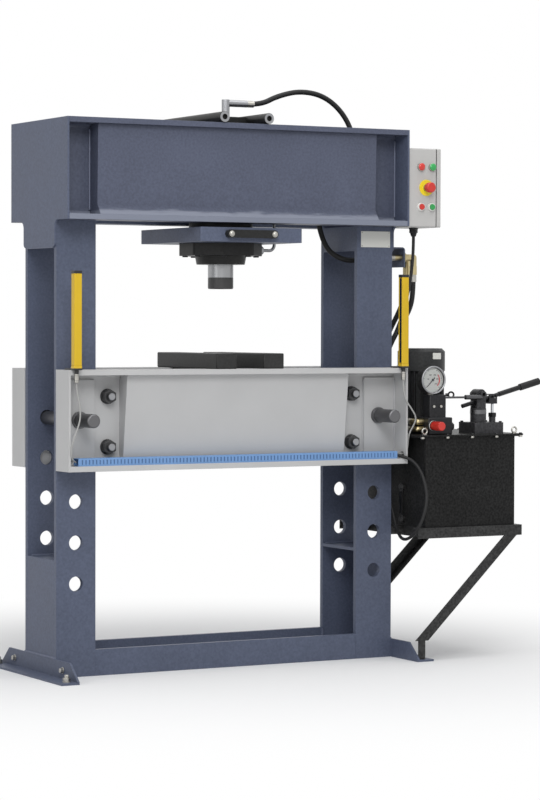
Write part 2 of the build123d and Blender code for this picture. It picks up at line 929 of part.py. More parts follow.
def bulkhead(y):
    """Bulkhead union with an elbow that points down."""
    left = bracket_reach - bracket_plate - fitting_stub
    nut_end = bracket_reach + fitting_nut
    solid = bar((left, y, fitting_z), (bracket_reach, y, fitting_z), fitting_stub_radius)
    solid += hex_bar((bracket_reach, y, fitting_z), (nut_end, y, fitting_z), fitting_nut_across)
    solid += bar((nut_end, y, fitting_z), (fitting_elbow_x, y, fitting_z), fitting_body_radius)
    solid += Pos(fitting_elbow_x, y, fitting_z) * Sphere(fitting_body_radius)
    solid += bar((fitting_elbow_x, y, fitting_z), (fitting_elbow_x, y, fitting_bottom), fitting_body_radius)
    collar = (fitting_elbow_x, y, fitting_collar_bottom)
    return solid + bar(collar, (fitting_elbow_x, y, fitting_bottom), fitting_ferrule_radius)


def pump_fitting(z):
    """Elbow on the valve block that points to the rear."""
    corner = (pump_fitting_x, pump_fitting_y, z)
    solid = bar((valve_left, pump_fitting_y, z), corner, pump_fitting_radius)
    solid += Pos(*corner) * Sphere(pump_fitting_radius)
    return solid + bar(corner, (pump_fitting_x, -pump_fitting_tail, z), pump_fitting_radius)


def angle_bar(x, y, z, edge):
    """Equal angle: a flat top leg and one upright leg on the named edge."""
    top = slab(x, y, (z[1] - angle_plate, z[1]))
    if edge == "front":
        return top + slab(x, (y[0], y[0] + angle_plate), z)
    if edge == "rear":
        return top + slab(x, (y[1] - angle_plate, y[1]), z)
    if edge == "left":
        return top + slab((x[0], x[0] + angle_plate), y, z)
    return top + slab((x[1] - angle_plate, x[1]), y, z)


def tank_shelf():
    """Angle frame beside the right column with two arms to the column plates."""
    z = (shelf_top - angle_leg, shelf_top)
    x = (shelf_left, shelf_right)
    inner = (-shelf_front + angle_leg, shelf_rear - angle_leg)
    shelf = angle_bar(x, (-shelf_front, -shelf_front + angle_leg), z, "front")
    shelf += angle_bar(x, (shelf_rear - angle_leg, shelf_rear), z, "rear")
    shelf += angle_bar((cross_left, cross_left + angle_leg), inner, z, "left")
    shelf += angle_bar((shelf_right - angle_leg, shelf_right), inner, z, "right")
    for side in (-1, 1):
        middle = side * (y_out - column_plate / 2)
        shelf += slab((x_out, cross_left + angle_leg), (middle - column_plate / 2, middle + column_plate / 2),
                      (shelf_top - angle_plate - arm_drop, shelf_top - angle_plate))
    return shelf


def strut(y, side):
    """Sloping brace from the foot angle up to the outer end of the shelf."""
    low = (strut_foot, strut_foot_top - strut_foot_half)
    high = (strut_head_x, shelf_top - angle_leg)
    slope = atan2(high[1] - low[1], high[0] - low[0])
    across = strut_leg / sin(slope)
    outline = [(low[0] - across / 2, low[1]), (low[0] + across / 2, low[1]),
               (high[0] + across / 2, high[1]), (high[0] - across / 2, high[1])]
    web = tuple(sorted((y, y - side * angle_plate)))
    brace = prism_y(web, outline)
    ledge = angle_plate / sin(slope)
    lip = [(low[0] + across / 2 - ledge, low[1]), (low[0] + across / 2, low[1]),
           (high[0] + across / 2, high[1]), (high[0] + across / 2 - ledge, high[1])]
    brace += prism_y(tuple(sorted((y, y - side * strut_leg))), lip)
    foot_x = (strut_foot - strut_foot_half, strut_foot + strut_foot_half)
    brace += slab(foot_x, web, (foot_plate, strut_foot_top))
    return brace


def oil_tank():
    """Open-topped tank with an outward rim and the two bosses of its level gauge."""
    x, y = (tank_left, tank_right), (-tank_front, tank_rear)
    tank = slab(x, y, (shelf_top, tank_top))
    tank += slab((x[0] - tank_rim, x[1] + tank_rim), (y[0] - tank_wall, y[1] + tank_wall),
                 (tank_top - tank_wall, tank_top))
    tank -= slab((x[0] + tank_wall, x[1] - tank_wall), (y[0] + tank_wall, y[1] - tank_wall),
                 (shelf_top + tank_wall, tank_top + overrun))
    for z in level_zs:
        tank += bar((tank_left, -level_y, z), (tank_left - level_stand, -level_y, z), level_radius)
    return tank


def tank_lid():
    lid = slab((lid_left, lid_right), (-lid_front, lid_rear), (tank_top, lid_top))
    under = (motor_x, motor_y, tank_top - overrun)
    return lid - bar(under, (motor_x, motor_y, lid_top + overrun), lid_shaft_hole)


def on_motor(shape):
    return Pos(motor_x, motor_y, 0) * shape


def motor_body():
    """Finned motor housing on a round foot, with a bore for the rotor and two end walls."""
    low = lid_top + motor_foot
    profile = Circle(motor_core_radius)
    fin = Rectangle(motor_fin_radius - motor_core_radius / 2, motor_fin_width)
    middle = (motor_fin_radius + motor_core_radius / 2) / 2
    for k in range(motor_fin_count):
        profile += Rot(0, 0, 360 * k / motor_fin_count) * Pos(middle, 0) * fin
    solid = extrude(Pos(0, 0, low) * profile, amount=motor_body_top - low)
    solid += bar((0, 0, lid_top), (0, 0, low), motor_foot_radius)
    shield_top = motor_body_top + motor_shield
    solid += bar((0, 0, motor_body_top), (0, 0, shield_top), motor_shield_radius)
    solid -= bar((0, 0, lid_top + motor_wall), (0, 0, shield_top - motor_wall), stator_radius)
    solid -= bar((0, 0, lid_top - overrun), (0, 0, shield_top + overrun), shaft_radius + shaft_gap)
    return on_motor(solid)


def fan_cover():
    """Cup over the fan with radial air slots in its top."""
    low = motor_body_top + motor_shield
    cup = bar((0, 0, low), (0, 0, fan_cover_top), fan_cover_radius)
    cup = chamfer(cup.edges().filter_by(GeomType.CIRCLE).sort_by(Axis.Z)[-1], fan_cover_chamfer)
    ceiling = (0, 0, fan_cover_top - fan_cover_wall)
    inner = bar((0, 0, low - overrun), ceiling, fan_cover_radius - fan_cover_wall)
    inner = chamfer(inner.edges().filter_by(GeomType.CIRCLE).sort_by(Axis.Z)[-1], fan_cover_chamfer)
    cup -= inner
    slot = slab((fan_slot_inner, fan_slot_outer), (-fan_slot_width / 2, fan_slot_width / 2),
                (fan_cover_top - fan_cover_wall - overrun, fan_cover_top + overrun))
    for k in range(fan_slot_count):
        cup -= Rot(0, 0, 360 * k / fan_slot_count) * slot
    return on_motor(cup)


def motor_rotor():
    """Shaft with the rotor core inside the housing and the fan above it."""
    shield_top = motor_body_top + motor_shield
    fan_low = shield_top + fan_bottom_gap
    fan_high = fan_low + fan_blade_height
    solid = bar((0, 0, lid_top - shaft_below), (0, 0, fan_high), shaft_radius)
    low = lid_top + motor_wall + rotor_end_gap
    high = motor_body_top + motor_shield - motor_wall - rotor_end_gap
    solid += bar((0, 0, low), (0, 0, high), rotor_radius)
    solid += bar((0, 0, fan_low), (0, 0, fan_high), fan_hub_radius)
    blade = slab((fan_hub_radius - overrun, fan_radius), (-fan_blade_thickness / 2, fan_blade_thickness / 2),
                 (fan_low, fan_high))
    for k in range(fan_blade_count):
        solid += Rot(0, 0, 360 * k / fan_blade_count) * blade
    return on_motor(solid)


def valve_block():
    """Valve block with the riser for the gauge, a plug and the collar of the relief knob."""
    base = slab((valve_left, valve_right), (-valve_front, -valve_rear), (lid_top, valve_top))
    base = chamfer(base.edges(), valve_chamfer)
    riser = slab((riser_left, riser_right), (-riser_front, -riser_rear), (valve_top - overrun, riser_top))
    riser = chamfer(riser.edges(), valve_chamfer)
    block = base + riser
    plug_end = (valve_right + plug_length, plug_y, plug_z)
    block += hex_bar((valve_right, plug_y, plug_z), plug_end, 2 * plug_radius)
    front = -valve_front
    block += bar((knob_x, front, knob_z), (knob_x, front - knob_collar, knob_z), knob_collar_radius)
    hole_end = front + knob_stem + overrun
    mouth = (knob_x, front - knob_collar - overrun, knob_z)
    return block - bar(mouth, (knob_x, hole_end, knob_z), knob_stem_radius + shaft_gap)


def relief_knob():
    back = -valve_front - knob_collar - running_gap
    front = back - knob_length
    knob = bar((knob_x, back, knob_z), (knob_x, front, knob_z), knob_radius)
    knob = chamfer(knob.edges().filter_by(GeomType.CIRCLE).sort_by(Axis.Y)[0], knob_chamfer)
    for k in range(knob_flute_count):
        turn = radians(360 * k / knob_flute_count)
        x, z = knob_x + knob_radius * cos(turn), knob_z + knob_radius * sin(turn)
        knob -= bar((x, back + overrun, z), (x, front - overrun, z), knob_flute_radius)
    return knob + bar((knob_x, back, knob_z), (knob_x, -valve_front + knob_stem, knob_z), knob_stem_radius)


def gauge_case():
    """Round case with a recessed face, standing on its stem."""
    front, back = -gauge_front, -gauge_front + gauge_depth
    case = bar((gauge_x, front, gauge_z), (gauge_x, back, gauge_z), gauge_radius)
    case -= bar((gauge_x, front - overrun, gauge_z), (gauge_x, gauge_face, gauge_z), gauge_radius - gauge_rim)
    stem_foot = (gauge_x, -gauge_stem_y, riser_top)
    case += bar(stem_foot, (gauge_x, -gauge_stem_y, gauge_z - gauge_radius / 2), gauge_stem_radius)
    hole_end = gauge_face + needle_spindle_depth + overrun
    hole_radius = needle_spindle_radius + shaft_gap
    return case - bar((gauge_x, front, gauge_z), (gauge_x, hole_end, gauge_z), hole_radius)


def gauge_needle():
    """Pointer at the low end of the scale, on its spindle."""
    back = gauge_face - needle_stand
    front = back - needle_plate
    outline = [(-needle_half_width, -needle_tail), (needle_half_width, -needle_tail),
               (needle_tip_half_width, needle_length), (-needle_tip_half_width, needle_length)]
    pointer = prism_y((front, back), outline) + bar((0, front, 0), (0, back, 0), needle_hub_radius)
    pointer += bar((0, back, 0), (0, gauge_face + needle_spindle_depth, 0), needle_spindle_radius)
    return Pos(gauge_x, 0, gauge_z) * (Rot(0, needle_turn, 0) * pointer)


def hand_pump():
    """Cast pump base with the post, the two ears, the hollow pivot and the small barrel."""
    base = slab((pump_left, pump_right), (-pump_front, -pump_rear), (lid_top, lid_top + pump_height))
    base = fillet(base.edges().filter_by(Axis.Z), pump_corner)
    deck = lid_top + pump_height
    base += bar((post_x, pump_y, deck), (post_x, pump_y, post_top), post_radius)
    plunger_x = post_x + plunger_arm
    base += bar((plunger_x, pump_y, deck), (plunger_x, pump_y, barrel_small_top), barrel_small_radius)
    bore = (plunger_x, pump_y, plunger_bore_floor)
    base -= bar(bore, (plunger_x, pump_y, barrel_small_top + overrun), plunger_radius + guide_gap)
    for side in (-1, 1):
        near, far = pump_y + side * ear_half_gap, pump_y + side * (ear_half_gap + ear_plate)
        y = tuple(sorted((near, far)))
        base += slab((post_x - ear_half_width, post_x + ear_half_width), y, (post_top - overrun, pivot_z))
        base += bar((post_x, near, pivot_z), (post_x, far, pivot_z), ear_half_width)
    base += bar((post_x, pump_y - pivot_half, pivot_z), (post_x, pump_y + pivot_half, pivot_z), pivot_radius)
    mouth = (post_x, pump_y - pivot_half - overrun, pivot_z)
    return base - bar(mouth, (post_x, pump_y - ear_half_gap, pivot_z), pivot_bore_radius)


def pump_plunger():
    """Plunger with a fork whose long holes take the cross pin of the lever."""
    x = post_x + plunger_arm
    rod = bar((x, pump_y, plunger_bottom), (x, pump_y, fork_web_bottom), plunger_radius)
    outer = fork_half_gap + fork_cheek
    left, right = x - slot_before - fork_cheek, x + slot_after + fork_cheek
    web_z = (fork_web_bottom, fork_web_bottom + fork_web)
    rod += slab((left, right), (pump_y - outer, pump_y + outer), web_z)
    top = lever_pin[1] + slot_half_height + fork_top_margin - fork_cheek
    slot_z = (lever_pin[1] - slot_half_height, lever_pin[1] + slot_half_height)
    for side in (-1, 1):
        y = tuple(sorted((pump_y + side * fork_half_gap, pump_y + side * outer)))
        cheek = slab((left, right), y, (fork_web_bottom, top))
        cheek -= slab((x - slot_before, x + slot_after), (y[0] - overrun, y[1] + overrun), slot_z)
        rod += cheek
    return rod


def lever_point(reach):
    """A point on the lever axis, measured along X from the pivot."""
    return (post_x + reach, pump_y, pivot_z - lever_offset + reach * arm_slope)


def pump_lever():
    """Lever bar hung from a hub on the pivot, with the cross pin for the plunger and a tube up to the grip."""
    lever = bar(lever_point(-lever_stub), lever_point(lever_reach), lever_radius)
    tube_end = lever_reach - grip_wrap * cos(radians(lever_slope))
    lever += bar(lever_point(tube_start), lever_point(tube_end), tube_radius)
    front, back = pump_y - hub_half, pump_y + hub_half
    lever += bar((post_x, front, pivot_z), (post_x, back, pivot_z), hub_radius)
    lever += slab((post_x - hub_radius, post_x + hub_radius), (pump_y - hub_web_half, pump_y + hub_web_half),
                  (pivot_z - lever_offset, pivot_z))
    mouth = (post_x, front - overrun, pivot_z)
    lever -= bar(mouth, (post_x, back + overrun, pivot_z), pivot_radius + guide_gap)
    pin_x, pin_at = lever_pin
    near = (pin_x, pump_y - lever_pin_half, pin_at)
    return lever + bar(near, (pin_x, pump_y + lever_pin_half, pin_at), lever_pin_radius)


def lever_grip():
    """Sleeve pushed over the end of the lever bar."""
    along = cos(radians(lever_slope))
    end = lever_reach + (grip_length - grip_wrap) * along
    sleeve = bar(lever_point(lever_reach - grip_wrap * along), lever_point(end), grip_radius)
    inner_end = lever_point(lever_reach - grip_length * along)
    return sleeve - bar(inner_end, lever_point(lever_reach), lever_radius)


def pump_pipe():
    """Pressure pipe from the riser to the hollow pivot of the hand pump."""
    pipe = bar((riser_right, pipe_y, pipe_z), (pipe_nut_left, pipe_y, pipe_z), pipe_radius)
    drop = pivot_z - pipe_z
    reach = post_x - (pivot_radius ** 2 - drop ** 2) ** 0.5
    nut = bar((pipe_nut_left, pipe_y, pipe_z), (reach, pipe_y, pipe_z), pipe_nut_radius)
    inside = bar((post_x, pipe_y - pivot_half, pivot_z), (post_x, pipe_y + pivot_half, pivot_z), pivot_radius)
    return pipe + (nut - inside)


def hinge_knuckle(side, z):
    """One barrel of the door hinge with its leaf, on the box (-1) or on the door (1)."""
    x, y = hinge_axis
    reach = sorted((x, x + side * (door_gap / 2 + hinge_leaf)))
    leaf = slab(reach, (-box_rear, -box_rear + hinge_plate), z)
    return leaf + bar((x, y, z[0]), (x, y, z[1]), hinge_radius)


def control_box():
    """Box open to the right, with bezels, lamp bodies, hinge barrels and the cable gland."""
    box = slab((box_left, box_right), (-box_front, -box_rear), (box_bottom, box_top))
    box = fillet(box.edges().filter_by(Axis.X), box_corner)
    box -= slab((box_left + box_wall, box_right + overrun), (-box_front + box_wall, -box_rear - box_wall),
                (box_bottom + box_wall, box_top - box_wall))
    front = -box_front
    for x, z in [(x, button_z) for x in button_x] + [(estop_x, estop_z)]:
        box += bar((x, front, z), (x, front - bezel_height, z), bezel_radius)
        mouth = (x, front - bezel_height - overrun, z)
        box -= bar(mouth, (x, front + box_wall + overrun, z), button_radius + guide_gap)
    ring = bar((estop_x, front, estop_z), (estop_x, front - estop_collar, estop_z), estop_collar_radius)
    box += ring - bar((estop_x, front, estop_z), (estop_x, front - estop_collar, estop_z), bezel_radius)
    for x in lamp_x:
        box += bar((x, front, lamp_z), (x, front - lamp_height, lamp_z), bezel_radius)
    for share in hinge_shares:
        for side in (-1, 1):
            near = box_bottom + share * box_height + side * (hinge_length / 2 + running_gap)
            box += hinge_knuckle(-1, sorted((near, near + side * hinge_lug)))
    body_end = box_bottom - cable_gland_body
    box += bar((gland_x, gland_y, box_bottom), (gland_x, gland_y, body_end), cable_gland_radius)
    tip = (gland_x, gland_y, body_end - cable_gland_tip)
    return box + cone((gland_x, gland_y, body_end), tip, cable_gland_radius, cable_gland_tip_radius)


def control_door():
    """Tray-shaped door hung on the rear edge of the box."""
    y = (-box_front, -box_rear)
    door = slab((door_left, door_right), y, (box_bottom, box_top))
    door = fillet(door.edges().filter_by(Axis.X), box_corner)
    door -= slab((door_left - overrun, door_right - door_wall), (y[0] + door_wall, y[1] - door_wall),
                 (box_bottom + door_wall, box_top - door_wall))
    for share in hinge_shares:
        middle = box_bottom + share * box_height
        door += hinge_knuckle(1, (middle - hinge_length / 2, middle + hinge_length / 2))
    return door


def push_button(x):
    front = -box_front - bezel_height - button_proud
    return bar((x, front, button_z), (x, -box_front + button_root, button_z), button_radius)


def estop():
    """Mushroom head on its stem."""
    back = -box_front - estop_neck
    front = back - estop_head
    head = bar((estop_x, front, estop_z), (estop_x, back, estop_z), estop_head_radius)
    head = fillet(head.edges().filter_by(GeomType.CIRCLE).sort_by(Axis.Y)[0], estop_dome)
    return head + bar((estop_x, back, estop_z), (estop_x, -box_front + button_root, estop_z), button_radius)


def cord(points, radius):
    """Round cord along straight runs with tangent bends."""
    runs = [Vector(*b) - Vector(*a) for a, b in zip(points, points[1:])]
    bends = []
    for before, after in zip(runs, runs[1:]):
        half = radians(before.get_angle(after)) / 2
        bends.append(bend_share * min(before.length, after.length) / tan(half))
    path = FilletPolyline(*points, radius=bends)
    return sweep(Plane(origin=points[0], z_dir=runs[0]) * Circle(radius), path=path)


def fitted(route, start, end, settle):
    """A drawn route carried along by its two ends, fully by the end from the point numbered settle."""
    at_start = Vector(*start) - Vector(*route[0])
    at_end = Vector(*end) - Vector(*route[-1])
    points = []
    for k, point in enumerate(route):
        share = min(1, k / settle)
        points.append(Vector(*point) + at_start * (1 - share) + at_end * share)
    return points


front_fitting, rear_fitting = fitting_ys
stub_left = bracket_reach - bracket_plate - fitting_stub
duct_y = -duct_front + duct_depth / 2
duct_side = duct_depth / 4
sensor_start = table_top - connector_length
gland_end = box_bottom - cable_gland_body - cable_gland_tip
low_start = (carriage_x + low_pipe_x, 0, low_pipe_top + low_ferrule)
top_start = (carriage_x + top_port_x + top_port_stub, 0, top_port_z)
rear_pump_end, front_pump_end = [(pump_fitting_x, -pump_fitting_tail, z) for z in pump_fitting_zs]

# Name, drawn route, start, end and radius of each cord
runs = [
    ("lower_hose", lower_hose_route, low_start, (stub_left, rear_fitting, fitting_z), hose_radius),
    ("upper_hose", upper_hose_route, top_start, (stub_left, front_fitting, fitting_z), hose_radius),
    ("front_pump_hose", front_hose_route, (fitting_elbow_x, front_fitting, fitting_bottom), front_pump_end,
     hose_radius),
    ("rear_pump_hose", rear_hose_route, (fitting_elbow_x, rear_fitting, fitting_bottom), rear_pump_end,
     hose_radius),
    ("control_cable", control_route, (gland_x, gland_y, gland_end),
     (duct_half, duct_y - duct_side, duct_mid), cable_radius),
    ("left_sensor_cable", left_sensor_route, (-curtain_x, -curtain_y, sensor_start),
     (-duct_half, duct_y, duct_mid), sensor_radius),
    ("right_sensor_cable", right_sensor_route, (curtain_x, -curtain_y, sensor_start),
     (duct_half, duct_y + duct_side, duct_mid), sensor_radius),
]
cords = {}
for name, route, start, end, radius in runs:
    settle = loop_points if start in (low_start, top_start) else len(route) - 1
    cords[name] = (fitted(route, start, end, settle), radius)

ties = [(side * tie_x, table_top - drop) for side in (-1, 1) for drop in tie_drops]
front_plates = [table_end_plate(-1, False), table_end_plate(1, True)]
rear_plates = [behind(table_end_plate(side, False)) for side in (-1, 1)]

pieces = {
    "front_uprights": group(upright(-1), upright(1)),
    "rear_uprights": group(behind(upright(-1)), behind(upright(1))),
    "column_ties": group(*column_plates(-1), *column_plates(1)),
    "base_rails": group(base_rail(), behind(base_rail())),
    "foot_angles": group(foot(-1), foot(1)),
    "end_plates": group(beam_end_plate(-1), beam_end_plate(1)),
    "front_beam_channel": channel(x_out, y_out, beam_top),
    "rear_beam_channel": behind(channel(x_out, y_out, beam_top)),
    "beam_covers": group(beam_cover(), behind(beam_cover())),
    "front_table_channel": table_channel(),
    "rear_table_channel": behind(table_channel()),
    "table_end_plates": group(*front_plates, *rear_plates),
    "table_covers": group(table_cover(), behind(table_cover())),
    "tie_bolts": group(*[tie_bolt(*at) for at in ties]),
    "tie_spacers": group(*[tie_spacer(*at) for at in ties]),
    "left_pin": support_pin(-1),
    "right_pin": support_pin(1),
    "press_blocks": group(press_block(-1), press_block(1)),
    "cable_duct": cable_duct(),
    "light_curtains": group(curtain(-1), curtain(1)),
    "curtain_caps": group(*curtain_ends(-1), *curtain_ends(1)),
    "carriage_plate": carriage_body(),
    "carriage_handle": handle(),
    "cylinder_barrel": barrel(),
    "cylinder_flange": barrel_flange(),
    "rod_gland": rod_gland(),
    "trolley": trolley(),
    "port_fittings": group(top_port(), low_port()),
    "ram": ram_rod(),
    "ram_nose": ram_nose(),
    "hose_bracket": hose_bracket(),
    "hose_fittings": group(*[bulkhead(y) for y in fitting_ys], *[pump_fitting(z) for z in pump_fitting_zs]),
    "tank_shelf": tank_shelf(),
    "shelf_struts": group(strut(-shelf_front, -1), strut(shelf_rear, 1)),
    "oil_tank": oil_tank(),
    "tank_lid": tank_lid(),
    "motor_body": motor_body(),
    "fan_cover": fan_cover(),
    "motor_rotor": motor_rotor(),
    "valve_block": valve_block(),
    "relief_knob": relief_knob(),
    "gauge_case": gauge_case(),
    "gauge_needle": gauge_needle(),
    "hand_pump": hand_pump(),
    "pump_plunger": pump_plunger(),
    "pump_lever": pump_lever(),
    "lever_grip": lever_grip(),
    "pump_pipe": pump_pipe(),
    "control_box": control_box(),
    "control_door": control_door(),
    "estop_button": estop(),
    "stop_button": push_button(button_x[0]),
    "start_button": push_button(button_x[1]),
}
for name, (points, radius) in cords.items():
    pieces[name] = cord(points, radius)
    print(name, "radius", radius)

for name, piece in pieces.items():
    export_step(piece, f"parts/{name}.step")
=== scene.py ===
import math
import random

import bpy
import bmesh
from mathutils import Matrix, Vector


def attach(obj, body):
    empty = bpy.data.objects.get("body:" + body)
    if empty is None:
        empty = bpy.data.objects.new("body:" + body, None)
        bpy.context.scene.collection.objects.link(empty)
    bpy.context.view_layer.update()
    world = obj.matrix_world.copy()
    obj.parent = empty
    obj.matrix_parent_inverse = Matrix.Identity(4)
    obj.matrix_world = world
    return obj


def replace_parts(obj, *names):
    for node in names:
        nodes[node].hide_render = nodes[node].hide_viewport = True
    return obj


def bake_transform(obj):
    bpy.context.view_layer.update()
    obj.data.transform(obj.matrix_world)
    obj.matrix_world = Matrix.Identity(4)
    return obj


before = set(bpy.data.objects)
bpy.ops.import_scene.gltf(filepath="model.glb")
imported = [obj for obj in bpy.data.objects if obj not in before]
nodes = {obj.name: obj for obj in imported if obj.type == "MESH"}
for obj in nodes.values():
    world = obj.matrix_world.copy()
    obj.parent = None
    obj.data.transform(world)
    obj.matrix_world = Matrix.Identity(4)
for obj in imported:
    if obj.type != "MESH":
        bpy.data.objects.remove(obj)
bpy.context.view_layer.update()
rng = random.Random(7)
scene = bpy.context.scene
scene.view_settings.view_transform = "Standard"

MM = 0.001
BOTH = (-1, 1)
X, Y, Z = (1, 0, 0), (0, 1, 0), (0, 0, 1)
TO_FRONT = (0, -1, 0)
SHARP = math.radians(40)


def mm(*values):
    """Millimetres as metres. Places and sizes of pieces are in millimetres in the frame of the CAD."""
    return tuple(v * MM for v in values)


# Materials
CLOUD_SCALE, CLOUD_DETAIL, CLOUD_RANGE = 5.0, 6.0, (0.3, 0.7)
SPECK_SCALE, SPECK_DETAIL = 120.0, 2.0
GRAIN_DETAIL, GRAIN_DEPTH = 3.0, 0.0006
LINE_SCALE, LINE_DETAIL, LINE_STRENGTH, LINE_DEPTH = 60.0, 2.0, 0.12, 0.0003
METAL_MOTTLE = 0.06
WEAR, GLOSSIEST = 0.06, 0.02
# Painted sheen on the beam's lower lip: noise for its ragged upper edge, and how far above its top the paler
# strip is gone and at full strength
SHEEN_SCALE, SHEEN_DETAIL, SHEEN_STRETCH = 3.0, 5.0, (3.0, 3.0, 22.0)
SHEEN_RAGGED, SHEEN_GONE, SHEEN_FULL = 0.05, 0.025, 0.008


def linear(r, g, b):
    """A screen colour, 0 to 255, as linear light."""
    def one(v):
        v /= 255
        return v / 12.92 if v <= 0.04045 else ((v + 0.055) / 1.055) ** 2.4
    return (one(r), one(g), one(b), 1.0)


def add(tree, kind, **inputs):
    """A new shader node with values on its inputs."""
    made = tree.nodes.new("ShaderNode" + kind)
    for name, value in inputs.items():
        made.inputs[name.replace("_", " ")].default_value = value
    return made


def maths(tree, operation, *values):
    """One step of arithmetic on numbers and outputs of other nodes."""
    made = add(tree, "Math")
    made.operation = operation
    for socket, value in zip(made.inputs, values):
        if isinstance(value, bpy.types.NodeSocket):
            tree.links.new(value, socket)
        else:
            socket.default_value = value
    return made.outputs["Value"]


def ranged(tree, value, start, end=(0.0, 1.0), smooth=False):
    """A value moved from one range to another."""
    made = add(tree, "MapRange", From_Min=start[0], From_Max=start[1], To_Min=end[0], To_Max=end[1])
    if smooth:
        made.interpolation_type = "SMOOTHSTEP"
    tree.links.new(value, made.inputs["Value"])
    return made.outputs["Result"]


def noise(tree, scale, detail, stretch=None):
    """Noise in object space, with a scale for each axis where it is stretched."""
    place = add(tree, "TexCoord").outputs["Object"]
    if stretch:
        mapping = add(tree, "Mapping", Scale=stretch)
        tree.links.new(place, mapping.inputs["Vector"])
        place = mapping.outputs["Vector"]
    made = add(tree, "TexNoise", Scale=scale, Detail=detail)
    tree.links.new(place, made.inputs["Vector"])
    return made.outputs["Fac"]


def height(tree):
    """Height of the shaded point in object space."""
    split = add(tree, "SeparateXYZ")
    tree.links.new(add(tree, "TexCoord").outputs["Object"], split.inputs["Vector"])
    return split.outputs["Z"]


def relief(tree, level, strength, depth):
    """Fine bumps on the surface."""
    made = add(tree, "Bump", Strength=strength, Distance=depth)
    tree.links.new(level, made.inputs["Height"])
    tree.links.new(made.outputs["Normal"], tree.nodes["Principled BSDF"].inputs["Normal"])


def material(name, rgb, rough, metal=0.0, mottle=0.0, speck=0.0, bump=0.0, bump_scale=300.0, coat=0.0,
             **inputs):
    """Principled material with object-space noise for colour, roughness and relief."""
    m = bpy.data.materials.new(name)
    m.use_nodes = True
    tree = m.node_tree
    bsdf = tree.nodes["Principled BSDF"]
    base = linear(*rgb)
    inputs.update(Base_Color=base, Roughness=rough, Metallic=metal, Coat_Weight=coat)
    for key, value in inputs.items():
        bsdf.inputs[key.replace("_", " ")].default_value = value
    if mottle:
        cloud = noise(tree, CLOUD_SCALE, CLOUD_DETAIL)
        ramp = add(tree, "ValToRGB")
        for stop, place, shade in zip(ramp.color_ramp.elements, CLOUD_RANGE, (1 - mottle, 1 + mottle)):
            stop.position = place
            stop.color = (*(c * shade for c in base[:3]), 1)
        tree.links.new(cloud, ramp.inputs["Fac"])
        colour = ramp.outputs["Color"]
        if speck:
            shade = ranged(tree, noise(tree, SPECK_SCALE, SPECK_DETAIL), CLOUD_RANGE, (1 - speck, 1 + speck))
            scaled = add(tree, "VectorMath")
            scaled.operation = "SCALE"
            tree.links.new(colour, scaled.inputs[0])
            tree.links.new(shade, scaled.inputs["Scale"])
            colour = scaled.outputs["Vector"]
        tree.links.new(colour, bsdf.inputs["Base Color"])
        wear = ranged(tree, cloud, (0.0, 1.0), (max(GLOSSIEST, rough - WEAR), min(1.0, rough + WEAR)))
        tree.links.new(wear, bsdf.inputs["Roughness"])
    if bump:
        relief(tree, noise(tree, bump_scale, GRAIN_DETAIL), bump, GRAIN_DEPTH)
    return m


def brushed(name, rgb, rough, stretch):
    """Turned or drawn metal with fine lines along one axis."""
    m = material(name, rgb, rough, metal=1.0, mottle=METAL_MOTTLE)
    lines = noise(m.node_tree, LINE_SCALE, LINE_DETAIL, stretch)
    relief(m.node_tree, lines, LINE_STRENGTH, LINE_DEPTH)
    return m


def banded(name, rough, metal, low, high, bands):
    """Material whose colour changes in steps with height; bands are (height, colour) from the bottom up."""
    m = material(name, bands[0][1], rough, metal=metal)
    tree = m.node_tree
    ramp = add(tree, "ValToRGB")
    ramp.color_ramp.interpolation = "CONSTANT"
    stops = ramp.color_ramp.elements
    stops[0].color = linear(*bands[0][1])
    stops.remove(stops[1])
    for level, rgb in bands[1:]:
        stops.new((level - low) / (high - low)).color = linear(*rgb)
    tree.links.new(ranged(tree, height(tree), (low, high)), ramp.inputs["Fac"])
    tree.links.new(ramp.outputs["Color"], tree.nodes["Principled BSDF"].inputs["Base Color"])
    return m


def painted_sheen(m, rgb, low, high):
    """Adds a painted sheen: a paler strip between two heights, with a ragged upper edge, standing in for the
    light that the beam's lower lip reflects.
    """
    tree = m.node_tree
    colour = tree.nodes["Principled BSDF"].inputs["Base Color"]
    before = colour.links[0].from_socket
    level = height(tree)
    ragged = maths(tree, "MULTIPLY_ADD", noise(tree, SHEEN_SCALE, SHEEN_DETAIL, SHEEN_STRETCH), SHEEN_RAGGED, level)
    fade = ranged(tree, ragged, (high + SHEEN_GONE, high + SHEEN_FULL), smooth=True)
    strip = maths(tree, "MULTIPLY", fade, maths(tree, "GREATER_THAN", level, low))
    mix = add(tree, "Mix")
    mix.data_type = "RGBA"
    mix.inputs["B"].default_value = linear(*rgb)
    tree.links.new(strip, mix.inputs["Factor"])
    tree.links.new(before, mix.inputs["A"])
    tree.links.new(mix.outputs["Result"], colour)
    return m


